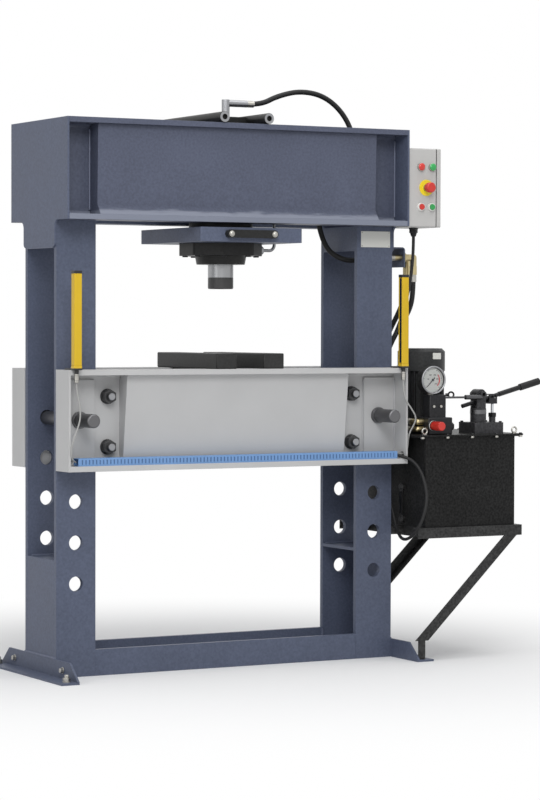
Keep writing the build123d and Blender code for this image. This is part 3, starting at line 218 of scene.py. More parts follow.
FRAME_PAINT = dict(rough=0.46, mottle=0.06, speck=0.12, bump=0.3, bump_scale=380, Specular_IOR_Level=0.28)
CURTAIN_YELLOW, CAP_BLACK = (208, 172, 34), (24, 24, 26)
ALONG_X, ALONG_Y, ALONG_Z = (1, 30, 30), (30, 1, 30), (40, 40, 1)
PLUNGER_SPAN, FORK_FOOT = (0.9, 1.1), 0.9712
CAP_SPAN, LOW_CAP_TOP, HIGH_CAP_FOOT = (1.0, 1.5), 1.1208, 1.135
# Foot of the beam, and the top of the painted sheen along its lower lip, in metres
BEAM_FOOT, SHEEN_TOP = 1.6535, 1.697
M = {
    "frame": material("frame_paint", (83, 90, 109), **FRAME_PAINT),
    # Beam channel and covers: frame paint with a painted sheen, a paler strip along the lower lip where light
    # reflects
    "frame_sheen": painted_sheen(material("frame_paint_sheen", (80, 85, 102), **FRAME_PAINT), (122, 127, 141),
                           BEAM_FOOT, SHEEN_TOP),
    "table": material("table_paint", (184, 184, 184), 0.48, mottle=0.03, bump=0.22, bump_scale=380,
                      Specular_IOR_Level=0.35),
    "yellow": material("yellow_paint", CURTAIN_YELLOW, 0.45, mottle=0.04, bump=0.08, bump_scale=600,
                       Specular_IOR_Level=0.35),
    "black": material("black_paint", (30, 30, 30), 0.4, mottle=0.2, speck=0.7, bump=0.25, bump_scale=450,
                      Specular_IOR_Level=0.12),
    "iron": material("black_iron", (50, 50, 50), 0.5, mottle=0.2, speck=0.55, bump=0.3,
                     Specular_IOR_Level=0.22),
    "cast": material("cast_iron", (62, 62, 64), 0.42, metal=0.3, mottle=0.2, speck=0.3, bump=0.3,
                     Specular_IOR_Level=0.25),
    "cylinder": material("cylinder_paint", (31, 31, 31), 0.42, mottle=0.2, speck=0.25, bump=0.3,
                         bump_scale=320, Specular_IOR_Level=0.25),
    "blocks": material("block_steel", (48, 48, 48), 0.44, metal=0.3, mottle=0.2, speck=0.15, bump=0.2,
                       bump_scale=200, Specular_IOR_Level=0.25),
    "nose": material("nose_steel", (74, 74, 74), 0.4, metal=0.4, mottle=0.18, bump=0.2, bump_scale=260,
                     Specular_IOR_Level=0.3),
    "motor": material("motor_paint", (42, 43, 44), 0.45, mottle=0.14, speck=0.25, bump=0.35, bump_scale=260,
                      Specular_IOR_Level=0.25),
    "gunmetal": material("gunmetal", (40, 40, 42), 0.34, metal=0.35, mottle=0.2, speck=0.25, bump=0.2,
                         Specular_IOR_Level=0.25),
    "nut": material("nut_steel", (72, 72, 73), 0.4, metal=0.5, mottle=0.15, bump=0.15,
                    Specular_IOR_Level=0.3),
    "steel": brushed("bright_steel", (150, 151, 154), 0.36, ALONG_X),
    "pin": brushed("pin_steel", (108, 108, 110), 0.44, ALONG_Y),
    "pipe": brushed("pipe_steel", (92, 92, 94), 0.42, ALONG_X),
    "chrome": brushed("hard_chrome", (156, 157, 159), 0.34, ALONG_Z),
    "zinc": material("zinc_plate", (178, 176, 170), 0.34, metal=1.0, mottle=0.08),
    "oxide": material("black_oxide", (36, 36, 38), 0.42, metal=0.6, mottle=0.1),
    "brass": material("plated_brass", (190, 176, 136), 0.36, metal=1.0, mottle=0.08),
    "plunger": banded("plunger_steel", 0.36, 1.0, *PLUNGER_SPAN, (
        (PLUNGER_SPAN[0], (200, 202, 205)), (FORK_FOOT, (58, 58, 60)))),
    "cap": banded("curtain_cap", 0.45, 0.0, *CAP_SPAN, (
        (CAP_SPAN[0], CAP_BLACK), (LOW_CAP_TOP, CURTAIN_YELLOW), (HIGH_CAP_FOOT, CAP_BLACK))),
    "blue": material("duct_blue", (110, 148, 196), 0.55, mottle=0.03, bump=0.05),
    "duct_inside": material("duct_inside", (84, 116, 158), 0.6, mottle=0.1),
    "plastic": material("black_plastic", (24, 24, 26), 0.5, mottle=0.06, bump=0.1, bump_scale=500,
                        Specular_IOR_Level=0.3),
    "box": material("box_grey", (184, 183, 181), 0.5, mottle=0.025, bump=0.12, bump_scale=500),
    "red": material("red_plastic", (196, 44, 34), 0.32, mottle=0.05, coat=0.2),
    "green": material("green_plastic", (36, 150, 74), 0.32, mottle=0.05, coat=0.2),
    "lamp_red": material("lamp_red", (206, 40, 32), 0.18, mottle=0.05, coat=0.4),
    "lamp_green": material("lamp_green", (34, 160, 78), 0.18, mottle=0.05, coat=0.4),
    "estop_yellow": material("estop_yellow", (238, 214, 40), 0.45, mottle=0.03),
    "white": material("white_plastic", (226, 226, 222), 0.45, mottle=0.02),
    "plate": material("plate_pale", (214, 214, 208), 0.4, mottle=0.03),
    "hose": material("hose_rubber", (28, 28, 29), 0.55, mottle=0.1, bump=0.3, bump_scale=700,
                     Specular_IOR_Level=0.3),
    "cable": material("cable_grey", (158, 158, 156), 0.5, mottle=0.05, bump=0.1),
    "gasket": material("gasket_rubber", (24, 24, 25), 0.7, mottle=0.08, bump=0.15, bump_scale=900),
    "dial": material("dial_face", (218, 215, 208), 0.6, mottle=0.02),
    "ink": material("dial_ink", (22, 22, 24), 0.6, mottle=0.02),
    "dial_red": material("dial_red", (196, 40, 34), 0.55, mottle=0.03),
    "lens": material("curtain_lens", (14, 14, 17), 0.08, mottle=0.05, coat=0.3),
    "glass": material("clear_glass", (245, 248, 250), 0.03, Transmission_Weight=1.0, IOR=1.45),
    "weld": material("painted_weld", (96, 102, 122), 0.4, mottle=0.08, bump=0.3),
    "weld_grey": material("painted_weld_grey", (180, 180, 182), 0.42, mottle=0.06, bump=0.3),
}

# CAD nodes of each look
LOOKS = {
    "frame": "carriage_plate hose_bracket front_uprights rear_uprights base_rails end_plates"
             " rear_beam_channel foot_angles",
    # The beam carries the frame paint with a painted sheen along its lower lip
    "frame_sheen": "front_beam_channel beam_covers",
    "table": "front_table_channel rear_table_channel table_end_plates table_covers",
    "steel": "port_fittings motor_rotor",
    "pipe": "pump_pipe",
    "pin": "left_pin right_pin",
    "oxide": "tie_spacers",
    "nut": "tie_bolts",
    "plunger": "pump_plunger",
    "blocks": "press_blocks",
    "nose": "ram_nose",
    "blue": "cable_duct",
    "yellow": "light_curtains",
    "cap": "curtain_caps",
    "plastic": "gauge_needle",
    "cylinder": "carriage_handle cylinder_barrel cylinder_flange rod_gland trolley",
    "chrome": "ram",
    "brass": "hose_fittings",
    "black": "oil_tank tank_lid gauge_case",
    "iron": "tank_shelf shelf_struts",
    "cast": "hand_pump",
    "gunmetal": "valve_block pump_lever",
    "motor": "motor_body fan_cover",
    "red": "relief_knob estop_button stop_button",
    "green": "start_button",
    "hose": "lever_grip lower_hose upper_hose front_pump_hose rear_pump_hose control_cable",
    "cable": "left_sensor_cable right_sensor_cable",
    "box": "control_box control_door",
}


def soften(o, width):
    """A bevel of this width on sharp edges."""
    bevel = o.modifiers.new("soften", "BEVEL")
    bevel.width = width * MM
    bevel.segments = 2
    bevel.limit_method = "ANGLE"
    return bevel


def smooth(mesh):
    """Smooth shading between sharp edges."""
    for poly in mesh.polygons:
        poly.use_smooth = True
    mesh.set_sharp_from_angle(angle=SHARP)


# Nodes that keep their imported normals, and nodes that keep the triangles of their flat faces
ROUND = {"ram", "pump_plunger", "gauge_needle", "pump_pipe", "relief_knob"}
TRIANGLES = {"carriage_handle", "hand_pump", "shelf_struts", "valve_block"}
EDGE, WELD_REACH, FLAT, FLAT_WEIGHT = 1.2, 1e-5, math.radians(0.5), 90
for look, names in LOOKS.items():
    for name in names.split():
        o = nodes[name]
        o.data.materials.clear()
        o.data.materials.append(M[look])
        if name in ROUND:
            continue
        weld = o.modifiers.new("weld", "WELD")
        weld.merge_threshold = WELD_REACH
        if name not in TRIANGLES:
            flat = o.modifiers.new("flat", "DECIMATE")
            flat.decimate_type = "DISSOLVE"
            flat.angle_limit = FLAT
        soften(o, EDGE).angle_limit = SHARP
        even = o.modifiers.new("even", "WEIGHTED_NORMAL")
        even.weight = FLAT_WEIGHT
        even.keep_sharp = True
        if "custom_normal" in o.data.attributes:
            o.data.attributes.remove(o.data.attributes["custom_normal"])
        smooth(o.data)


# Mesh pieces
BEAD_SIDES, BEAD_STEP, BEAD_LEAST = 8, 0.006, 4
BEAD_LOW, BEAD_RISE, BEAD_UNEVEN, BEAD_END = 0.86, 0.16, 0.06, 0.35


def turns(count):
    """Angles of a full turn in equal steps."""
    return [2 * math.pi * i / count for i in range(count)]


def on(point, axis, reach):
    """The point this far along an axis."""
    return tuple(p + a * reach for p, a in zip(point, axis))


def facing(axis):
    """Turns Z to an axis."""
    return Vector(axis).to_track_quat("Z", "Y").to_matrix().to_4x4()


def between(start, end):
    """Placing of a form made about the origin along Z, and its length in metres."""
    start, end = Vector(mm(*start)), Vector(mm(*end))
    return Matrix.Translation((start + end) / 2) @ facing(end - start), (end - start).length


class Made:
    """Collects forms into one mesh piece."""

    def __init__(self):
        self.bm = bmesh.new()

    def skin(self, loops, closed=False):
        """Walls between loops of points in metres, ended by caps or, where closed, by the first loop."""
        loops = [[self.bm.verts.new(p) for p in loop] for loop in loops]
        for a, b in zip(loops, loops[1:] + loops[:1] if closed else loops[1:]):
            for j in range(len(a)):
                self.bm.faces.new((a[j - 1], a[j], b[j], b[j - 1]))
        if not closed:
            self.bm.faces.new(loops[0])
            self.bm.faces.new(loops[-1])
        return self

    def box(self, low, high):
        low, high = Vector(mm(*low)), Vector(mm(*high))
        size = Matrix.Diagonal((*(high - low), 1))
        bmesh.ops.create_cube(self.bm, size=1, matrix=Matrix.Translation((low + high) / 2) @ size)
        return self

    def rod(self, start, end, radius, last=None, sides=32):
        place, length = between(start, end)
        bmesh.ops.create_cone(self.bm, cap_ends=True, segments=sides, radius1=radius * MM,
                              radius2=(last or radius) * MM, depth=length, matrix=place)
        return self

    def sleeve(self, start, end, outer, inner, sides=40):
        """A tube wall with a clear middle."""
        place, length = between(start, end)
        half = length / 2
        loops = []
        for radius, z in ((outer, -half), (outer, half), (inner, half), (inner, -half)):
            r = radius * MM
            loops.append([place @ Vector((r * math.cos(a), r * math.sin(a), z)) for a in turns(sides)])
        return self.skin(loops, closed=True)

    def turned(self, point, axis, *steps, sides=32):
        """Rods on one axis; a step is (from, to, radius), with an end radius where it tapers."""
        for low, high, *radii in steps:
            self.rod(on(point, axis, low), on(point, axis, high), *radii, sides=sides)
        return self

    def nuts(self, point, axis, *steps):
        """Hexagons on one axis; a step is (from, to, width across flats)."""
        for low, high, across in steps:
            self.turned(point, axis, (low, high, across / math.sqrt(3)), sides=6)
        return self

    def tubes(self, point, axis, *steps, sides=40):
        """Tube walls on one axis; a step is (from, to, outer radius, inner radius)."""
        for low, high, outer, inner in steps:
            self.sleeve(on(point, axis, low), on(point, axis, high), outer, inner, sides)
        return self

    def dome(self, centre, radius, flat):
        """A ball squashed along Y to this share of its depth."""
        place = Matrix.Translation(mm(*centre)) @ Matrix.Diagonal((1, flat, 1, 1))
        bmesh.ops.create_uvsphere(self.bm, u_segments=24, v_segments=12, radius=radius * MM, matrix=place)
        return self

    def ring(self, centre, axis, big, small, around=40, across=12):
        place = Matrix.Translation(mm(*centre)) @ facing(axis)
        loops = []
        for a in turns(around):
            out = Vector((math.cos(a), math.sin(a), 0))
            wire = [(big + small * math.cos(b), small * math.sin(b)) for b in turns(across)]
            loops.append([place @ ((out * r + Vector((0, 0, z))) * MM) for r, z in wire])
        return self.skin(loops, closed=True)

    def bead(self, start, end, radius):
        """A weld bead: a tube whose radius rises and falls along the seam."""
        start, end = Vector(mm(*start)), Vector(mm(*end))
        along = end - start
        count = max(BEAD_LEAST, int(along.length / BEAD_STEP) * 2)
        turn = along.to_track_quat("Z", "Y").to_matrix()
        loops = []
        for i in range(count + 1):
            swell = BEAD_LOW + (BEAD_RISE if i % 2 else 0) + rng.uniform(-BEAD_UNEVEN, BEAD_UNEVEN)
            r = radius * MM * swell
            if i in (0, count):
                r *= BEAD_END
            middle = start + along * (i / count)
            wall = (turn @ Vector((r * math.cos(a), r * math.sin(a), 0)) for a in turns(BEAD_SIDES))
            loops.append([middle + out for out in wall])
        return self.skin(loops)

    def done(self, name, look, body="frame", bevel=0.0):
        mesh = bpy.data.meshes.new(name)
        bmesh.ops.recalc_face_normals(self.bm, faces=self.bm.faces[:])
        self.bm.to_mesh(mesh)
        self.bm.free()
        smooth(mesh)
        mesh.materials.append(M[look])
        o = bpy.data.objects.new(name, mesh)
        scene.collection.objects.link(o)
        if bevel:
            soften(o, bevel).harden_normals = True
        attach(o, body)
        return o


# Cords: radius, look and the points of the CAD route
HOSE_RADIUS, CABLE_RADIUS, LEAD_RADIUS = 10, 6, 3
CORDS = {
    "lower_hose": (HOSE_RADIUS, "hose", (
        (264, 0, 1736), (264, 0, 1795), (302, 14, 1882), (372, 32, 1920), (446, 48, 1882),
        (482, 56, 1795), (484, 54, 1700), (494, 46, 1626), (520, 28, 1556), (584, -10, 1520),
        (662, -40, 1538), (742, -40, 1538))),
    "upper_hose": (HOSE_RADIUS, "hose", (
        (144, 0, 2110.3), (204, 0, 2110.3), (276, 0, 2146), (376, -2, 2170), (480, -6, 2154),
        (562, -14, 2088), (602, -26, 1992), (616, -44, 1888), (622, -64, 1784), (628, -80, 1694),
        (646, -88, 1606), (684, -90, 1538), (742, -90, 1538))),
    "front_pump_hose": (HOSE_RADIUS, "hose", (
        (830, -90, 1472), (830, -90, 1410), (826, -78, 1344), (806, -46, 1284), (784, -10, 1216),
        (764, 16, 1140), (747, 26, 1060), (740, 12, 986), (743, -34, 934), (748, -92, 915),
        (751, -158, 908), (751, -216, 908))),
    "rear_pump_hose": (HOSE_RADIUS, "hose", (
        (830, -40, 1472), (830, -40, 1408), (816, -20, 1340), (792, 16, 1262), (768, 48, 1180),
        (748, 72, 1092), (738, 76, 1006), (738, 50, 934), (743, -14, 895), (749, -84, 882),
        (751, -154, 880), (751, -216, 880))),
    "control_cable": (CABLE_RADIUS, "hose", (
        (797, -144, 1619), (797, -144, 1568), (791, -143, 1490), (778, -139, 1400), (755, -128, 1306),
        (722, -112, 1216), (694, -98, 1120), (683, -92, 1010), (680, -90, 900), (682, -92, 800),
        (692, -96, 708), (713, -102, 628), (721, -124, 556), (715, -164, 494), (702, -216, 460),
        (692, -282, 462), (696, -338, 494), (717, -354, 550), (738, -348, 620), (739, -324, 690),
        (728, -298, 742), (703, -267, 774), (667, -235, 783.6))),
    "left_sensor_cable": (LEAD_RADIUS, "cable", (
        (-682, -262, 1068.6), (-682, -262, 1038), (-671, -265, 994), (-668, -267, 944), (-684, -268, 896),
        (-703, -267, 850), (-702, -262, 812), (-688, -240, 788), (-667, -225, 783.6))),
    "right_sensor_cable": (LEAD_RADIUS, "cable", (
        (682, -262, 1068.6), (682, -262, 1038), (688, -266, 994), (714, -269, 960), (737, -269, 926),
        (728, -264, 896), (714.5, -256, 869), (714, -245, 840), (722, -233, 812), (712, -222, 788),
        (689, -216.5, 784.2), (667, -215, 783.6))),
}
# Where a hose changes over from the carriage to the frame, in metres
MOVING = {
    "upper_hose": ((0.15, 0, 2.1), (0.60, 0, 2.0)),
    "lower_hose": ((0.27, 0, 1.75), (0.50, 0.05, 1.75)),
}
CORD_ROUND, CORD_STEPS, CORD_ORDER = 5, 12, 3


def made_mesh(name, data):
    """The mesh of a curve or a text."""
    o = bpy.data.objects.new(name, data)
    scene.collection.objects.link(o)
    bpy.context.view_layer.update()
    mesh = bpy.data.meshes.new_from_object(o.evaluated_get(bpy.context.evaluated_depsgraph_get()))
    bpy.data.objects.remove(o)
    return mesh


def route_mesh(name, points, radius=0.0):
    """The mesh of a smooth route: a bare line, or a tube where it has a radius."""
    curve = bpy.data.curves.new(name, "CURVE")
    curve.dimensions = "3D"
    curve.bevel_depth = radius * MM
    curve.bevel_resolution = CORD_ROUND
    curve.use_fill_caps = True
    curve.resolution_u = CORD_STEPS
    line = curve.splines.new("NURBS")
    line.points.add(len(points) - 1)
    for p, q in zip(line.points, points):
        p.co = (*mm(*q), 1.0)
    line.order_u = CORD_ORDER
    line.use_endpoint_u = True
    return made_mesh(name, curve)


for name, (radius, look, points) in CORDS.items():
    line = [v.co.copy() for v in route_mesh(name + "_line", points).vertices]
    mesh = route_mesh(name + "_tube", points, radius)
    mesh.materials.clear()
    smooth(mesh)
    o = bpy.data.objects.new(name + "_cord", mesh)
    scene.collection.objects.link(o)
    if name in MOVING:
        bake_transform(o)
    else:
        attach(o, "frame")
    o.data.materials.append(M[look])
    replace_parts(o, name)


# Column plates; a diaphragm stops a hair short of its cover, so that every plate stays a closed mesh
COLUMN_IN, COLUMN_OUT, COLUMN_HALF_DEPTH = 549, 705, 118
COVER_PLATE, COVER_TOP, DIAPHRAGM_PLATE, HAIR = 10, 425, 12, 0.2
TIE_PLATE, TIE_BOTTOM, TIE_TOP = 10, 1559, 1653
plates = Made()
for side in BOTH:
    for near, far, low, high in (
        (COLUMN_OUT - COVER_PLATE, COLUMN_OUT, 0, COVER_TOP),
        (COLUMN_IN, COLUMN_OUT - COVER_PLATE - HAIR, COVER_TOP - DIAPHRAGM_PLATE, COVER_TOP),
        (COLUMN_IN, COLUMN_IN + TIE_PLATE, TIE_BOTTOM, TIE_TOP),
    ):
        west, east = sorted((side * near, side * far))
        plates.box((west, -COLUMN_HALF_DEPTH, low), (east, COLUMN_HALF_DEPTH, high))
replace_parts(plates.done("column_plates", "frame", bevel=1.0), "column_ties")


# Bolts of the feet
FOOT_BOLT_X, FOOT_BOLT_Y = 740, 305
FOOT_WASHER, FOOT_NUT, FOOT_SHANK, FOOT_TIP = (8, 11, 15), (11, 24, 24), (3, 33, 7.9), (32.8, 35, 7.8, 6)
SIDE_BOLT_X, SIDE_BOLT_Y, SIDE_BOLT_Z = 713, 214, 38
SIDE_WASHER, SIDE_HEAD = (0, 8 / 3, 12), (8 / 3, 12, 17)
bolts = Made()
for side in BOTH:
    for end in BOTH:
        foot = (side * FOOT_BOLT_X, end * FOOT_BOLT_Y, 0)
        bolts.turned(foot, Z, FOOT_WASHER, FOOT_SHANK, FOOT_TIP).nuts(foot, Z, FOOT_NUT)
        flank, out = (side * SIDE_BOLT_X, end * SIDE_BOLT_Y, SIDE_BOLT_Z), (side, 0, 0)
        bolts.turned(flank, out, SIDE_WASHER).nuts(flank, out, SIDE_HEAD)
bolts.done("foot_bolts", "zinc", bevel=0.6)

# Bright ends of the table's tie bolts
TABLE_TOP, TIE_BOLT_X, TIE_BOLT_DROPS, TIE_BOLT_END = 1114.6, 512, (98, 281), (198.5, 200.2, 13.5, 12)
ends = Made()
for side in BOTH:
    for drop in TIE_BOLT_DROPS:
        for face in BOTH:
            ends.turned((side * TIE_BOLT_X, 0, TABLE_TOP - drop), (0, face, 0), TIE_BOLT_END)
ends.done("tie_bolt_ends", "steel")

# Socket screws of the cylinder flange
CYLINDER_X, SCREW_CIRCLE, SCREW_COUNT = 34, 134, 8
SCREW_WALL, SCREW_FLOOR, SCREW_SIDES, SOCKET_SIDES = (1535.5, 1530, 10.5, 5), (1535.2, 1532.6, 6), 24, 12
screws = Made()
for k in range(SCREW_COUNT):
    a = 2 * math.pi * (k + 0.5) / SCREW_COUNT
    at = (CYLINDER_X + SCREW_CIRCLE * math.cos(a), SCREW_CIRCLE * math.sin(a), 0)
    screws.tubes(at, Z, SCREW_WALL, sides=SCREW_SIDES).turned(at, Z, SCREW_FLOOR, sides=SOCKET_SIDES)
screws.done("flange_screws", "oxide", "carriage", bevel=0.8)

# Bolts of the carriage handle
HANDLE_XS, HANDLE_FACE, HANDLE_Z = (-63, 117), -272.5, 1611
HANDLE_WASHER, HANDLE_DOME, HANDLE_FLAT = (0, 2.5, 11), 9, 0.55
heads = Made()
for x in HANDLE_XS:
    at = (x, HANDLE_FACE, HANDLE_Z)
    heads.turned(at, TO_FRONT, HANDLE_WASHER)
    heads.dome(on(at, TO_FRONT, HANDLE_WASHER[1]), HANDLE_DOME, HANDLE_FLAT)
heads.done("handle_bolts", "zinc", "carriage")

# Bolts round the tank lid, nuts below and heads above
LID_XS, LID_YS = (728, 840, 951, 1062, 1173), (-328, -181, -34, 113, 260)
LID_NUT, LID_HEAD = (853.2, 846, 13), (859.8, 863.5, 6.5, 5.5)
lid, tops = Made(), Made()
for x in LID_XS:
    for y in LID_YS:
        if x in (LID_XS[0], LID_XS[-1]) or y in (LID_YS[0], LID_YS[-1]):
            lid.nuts((x, y, 0), Z, LID_NUT)
            tops.turned((x, y, 0), Z, LID_HEAD)
lid.done("lid_bolts", "zinc", bevel=0.5)
tops.done("lid_heads", "oxide", bevel=0.5)

# Lifting eyes of the lid and the motor
LID_EYES, LID_EYE_FOOT, LID_EYE_Z = ((1150, -318), (1150, 250), (748, -310)), (859.8, 863, 9), 874
EYE_RADIUS, LID_EYE_WIRE = 10.5, 3.3
MOTOR_EYE_FOOT, MOTOR_EYE_NECK, MOTOR_EYE = (944, -148, 1007), (954, -152, 1007), (964, -156, 1007)
MOTOR_EYE_NECK_RADIUS, MOTOR_EYE_AXIS, MOTOR_EYE_WIRE = 6, (0.35, 0.94, 0), 3.5
eyes = Made()
for x, y in LID_EYES:
    eyes.turned((x, y, 0), Z, LID_EYE_FOOT).ring((x, y, LID_EYE_Z), Y, EYE_RADIUS, LID_EYE_WIRE)
eyes.done("lid_eyes", "zinc")
eye_bolt = Made().rod(MOTOR_EYE_FOOT, MOTOR_EYE_NECK, MOTOR_EYE_NECK_RADIUS)
eye_bolt.ring(MOTOR_EYE, MOTOR_EYE_AXIS, EYE_RADIUS, MOTOR_EYE_WIRE).done("motor_eye", "oxide")

# Screws of the hose bracket, the light curtains and the gauge block
BRACKET_YS, BRACKET_Z, BRACKET_WASHER, BRACKET_HEAD = (-90, -40), 1605, (718.8, 721, 10), (721, 727, 14)
CURTAIN_X, CURTAIN_SCREW_Y, CURTAIN_SCREW = 682, -224, (1120.4, 1124, 5.5)
RISER_XS, RISER_FACE, RISER_Z, RISER_SCREW = (801, 833), -289.8, 967, (0, 4.2, 5.2)
small = Made()
for y in BRACKET_YS:
    at = (0, y, BRACKET_Z)
    small.turned(at, X, BRACKET_WASHER).nuts(at, X, BRACKET_HEAD)
for side in BOTH:
    small.turned((side * CURTAIN_X, CURTAIN_SCREW_Y, 0), Z, CURTAIN_SCREW)
for x in RISER_XS:
    small.turned((x, RISER_FACE, RISER_Z), TO_FRONT, RISER_SCREW)
small.done("small_screws", "zinc", bevel=0.5)

# Socket screws of the hand pump
PUMP_XS, PUMP_YS, PUMP_SCREW = (1000, 1111), (-280, -178), (901.8, 907, 6, 3)
base = Made()
for x in PUMP_XS:
    for y in PUMP_YS:
        base.tubes((x, y, 0), Z, PUMP_SCREW, sides=SCREW_SIDES)
base.done("pump_screws", "oxide", bevel=0.5)


# Weld seams: start, end and radius on the right and rear, mirrored to the other sides
BEAM_SEAMS = (((583, 156.5, 1688), (583, 156.5, 1982), 4.2), ((703, 156.5, 1688), (703, 156.5, 1982), 4.2),
              ((698, 243, 1674.5), (698, 172, 1674.5), 3.5))
CROSS_SEAMS = (((706.5, -138, 71), (706.5, 138, 71), 4.5), ((706, -118, 1556), (706, 118, 1556), 4.2))
LOW_SEAMS = (((560, 116, 426), (690, 116, 426), 4), ((548, 117, 8), (548, 117, 92), 4))
TABLE_SEAMS = (((565, 157.5, 795), (565, 157.5, 1070), 3.5), ((698.5, 168, 795), (698.5, 168, 1070), 3.5))


def seam(made, side, face, start, end, radius):
    """One weld bead, mirrored by the signs of the side and the face."""
    made.bead(*((side * x, face * y, z) for x, y, z in (start, end)), radius)


seams, grey = Made(), Made()
for side in BOTH:
    for face in BOTH:
        for row in BEAM_SEAMS:
            seam(seams, side, face, *row)
    for row in CROSS_SEAMS:
        seam(seams, side, 1, *row)
    for row in LOW_SEAMS:
        for face in BOTH:
            seam(seams, side, face, *row)
seams.done("frame_welds", "weld")
for side in BOTH:
    for face in BOTH:
        for row in TABLE_SEAMS:
            seam(grey, side, face, *row)
grey.done("table_welds", "weld_grey")


# Cable duct lining behind the slots
DUCT_LOW, DUCT_HIGH = (-666, -242.7, 772), (666, -241.7, 795)
Made().box(DUCT_LOW, DUCT_HIGH).done("duct_lining", "duct_inside")


# Light curtains: lens strips on the inner faces, and sleeves of the cable connectors
LENS_X, LENS_HALF, LENS_YS, LENS_ZS = 668.6, 0.9, (-269, -255), (1134.6, 1454.6)
CURTAIN_Y, SLEEVE_BORE, SLEEVE_SIDES = -262, 7.55, 28
SLEEVES = ((1069.5, 1076, 8.3, SLEEVE_BORE), (1077, 1094, 8.45, SLEEVE_BORE), (1095, 1100, 8.2, SLEEVE_BORE))
lens, sleeves = Made(), Made()
for side in BOTH:
    x = side * LENS_X
    lens.box((x - LENS_HALF, LENS_YS[0], LENS_ZS[0]), (x + LENS_HALF, LENS_YS[1], LENS_ZS[1]))
    sleeves.tubes((side * CURTAIN_X, CURTAIN_Y, 0), Z, *SLEEVES, sides=SLEEVE_SIDES)
lens.done("curtain_lenses", "lens", bevel=0.5)
sleeves.done("connector_sleeves", "zinc", bevel=0.3)


# Control box: steps are measured from its front
BOX_FRONT = -244
ESTOP_X, ESTOP_Z, ESTOP_SIDES = 791, 1801, 56
ESTOP_COLLAR, ESTOP_RIM = (-0.2, 3.5, 30.6, 14.7), (3.3, 10.3, 15.2, 11.3)
BUTTON_XS, BUTTON_Z, BUTTON_RING = (766, 813), 1728, (-0.2, 10.4, 15.1, 11.4)
LAMPS, LAMP_Z = ((766, "lamp_red"), (816, "lamp_green")), 1880
LAMP_RIM, LAMP_BODY, LAMP_FLAT = (-0.2, 7, 15.2, 14.4), (5, 10.5, 14.3), 0.42
estop = (ESTOP_X, BOX_FRONT, ESTOP_Z)
Made().tubes(estop, TO_FRONT, ESTOP_COLLAR, sides=ESTOP_SIDES).done("estop_collar", "estop_yellow", bevel=0.6)
rings, rims = Made(), Made()
for x in BUTTON_XS:
    rings.tubes((x, BOX_FRONT, BUTTON_Z), TO_FRONT, BUTTON_RING)
rings.done("button_rings", "white", bevel=1.0)
for x, _ in LAMPS:
    rims.tubes((x, BOX_FRONT, LAMP_Z), TO_FRONT, LAMP_RIM)
rims.tubes(estop, TO_FRONT, ESTOP_RIM).done("lamp_rims", "zinc", bevel=0.25)
for x, look in LAMPS:
    at = (x, BOX_FRONT, LAMP_Z)
    _, top, radius = LAMP_BODY
    cover = Made().turned(at, TO_FRONT, LAMP_BODY).dome(on(at, TO_FRONT, top), radius, LAMP_FLAT)
    cover.done(look + "_lens", look)

# Cable gland, door lock and door gasket
GLAND, GLAND_CONE = (797, -144, 0), (1632, 1618, 13.5, 9)
GLAND_NUTS = ((1651.2, 1645, 31), (1644.5, 1632, 28.5))
LOCK, LOCK_BARREL = (0, -226, 1801), (856.3, 859.5, 11)
LOCK_KEY = ((859.2, -227.2, 1795), (860.4, -224.8, 1807))
SEAL_XS, SEAL_WIDE, SEAL_GAP = (835.4, 839.2), 6, 0.1
SEAL_YS, SEAL_ZS = (-238, -50), (1657, 1945)
gland = Made().nuts(GLAND, Z, *GLAND_NUTS).turned(GLAND, Z, GLAND_CONE)
gland.done("gland_nut", "plastic", bevel=0.6)
lock = Made().turned(LOCK, X, LOCK_BARREL).box(*LOCK_KEY)
lock.done("door_lock", "zinc", "control_door", bevel=0.4)
seal = Made()
for z in (SEAL_ZS[0], SEAL_ZS[1] - SEAL_WIDE):
    seal.box((SEAL_XS[0], SEAL_YS[0], z), (SEAL_XS[1], SEAL_YS[1], z + SEAL_WIDE))
for y in (SEAL_YS[0], SEAL_YS[1] - SEAL_WIDE):
    seal.box((SEAL_XS[0], y, SEAL_ZS[0] + SEAL_WIDE + SEAL_GAP),
             (SEAL_XS[1], y + SEAL_WIDE, SEAL_ZS[1] - SEAL_WIDE - SEAL_GAP))
seal.done("door_gasket", "gasket", "control_door")


# Bare plates on the right column and the motor
LABEL_XS, LABEL_YS, LABEL_ZS = (566, 695), (-138.9, -137.9), (1574, 1635)
RIVET_INSET, RIVET_RADIUS, RIVET_FLAT = 5, 2.5, 0.6
MOTOR_X, MOTOR_Y, PLATE_RADIUS, PLATE_THICK, PLATE_ZS = 862, -100, 91.9, 1.2, (1146, 1170)
PLATE_MIDDLE, PLATE_HALF, PLATE_STEPS = math.radians(-80), math.radians(13), 10
plate = Made().box(*zip(LABEL_XS, LABEL_YS, LABEL_ZS))
plate.done("label_plate", "plate", bevel=0.3)
rivets = Made()
for x in (LABEL_XS[0] + RIVET_INSET, LABEL_XS[1] - RIVET_INSET):
    for z in (LABEL_ZS[0] + RIVET_INSET, LABEL_ZS[1] - RIVET_INSET):
        rivets.dome((x, LABEL_YS[0], z), RIVET_RADIUS, RIVET_FLAT)
rivets.done("label_rivets", "zinc")
loops = []
for i in range(PLATE_STEPS + 1):
    a = PLATE_MIDDLE - PLATE_HALF + 2 * PLATE_HALF * i / PLATE_STEPS
    inner, outer = PLATE_RADIUS, PLATE_RADIUS + PLATE_THICK
    low, high = PLATE_ZS
    corners = ((inner, low), (inner, high), (outer, high), (outer, low))
    loops.append([mm(MOTOR_X + r * math.cos(a), MOTOR_Y + r * math.sin(a), z) for r, z in corners])
Made().skin(loops).done("motor_plate", "plate")


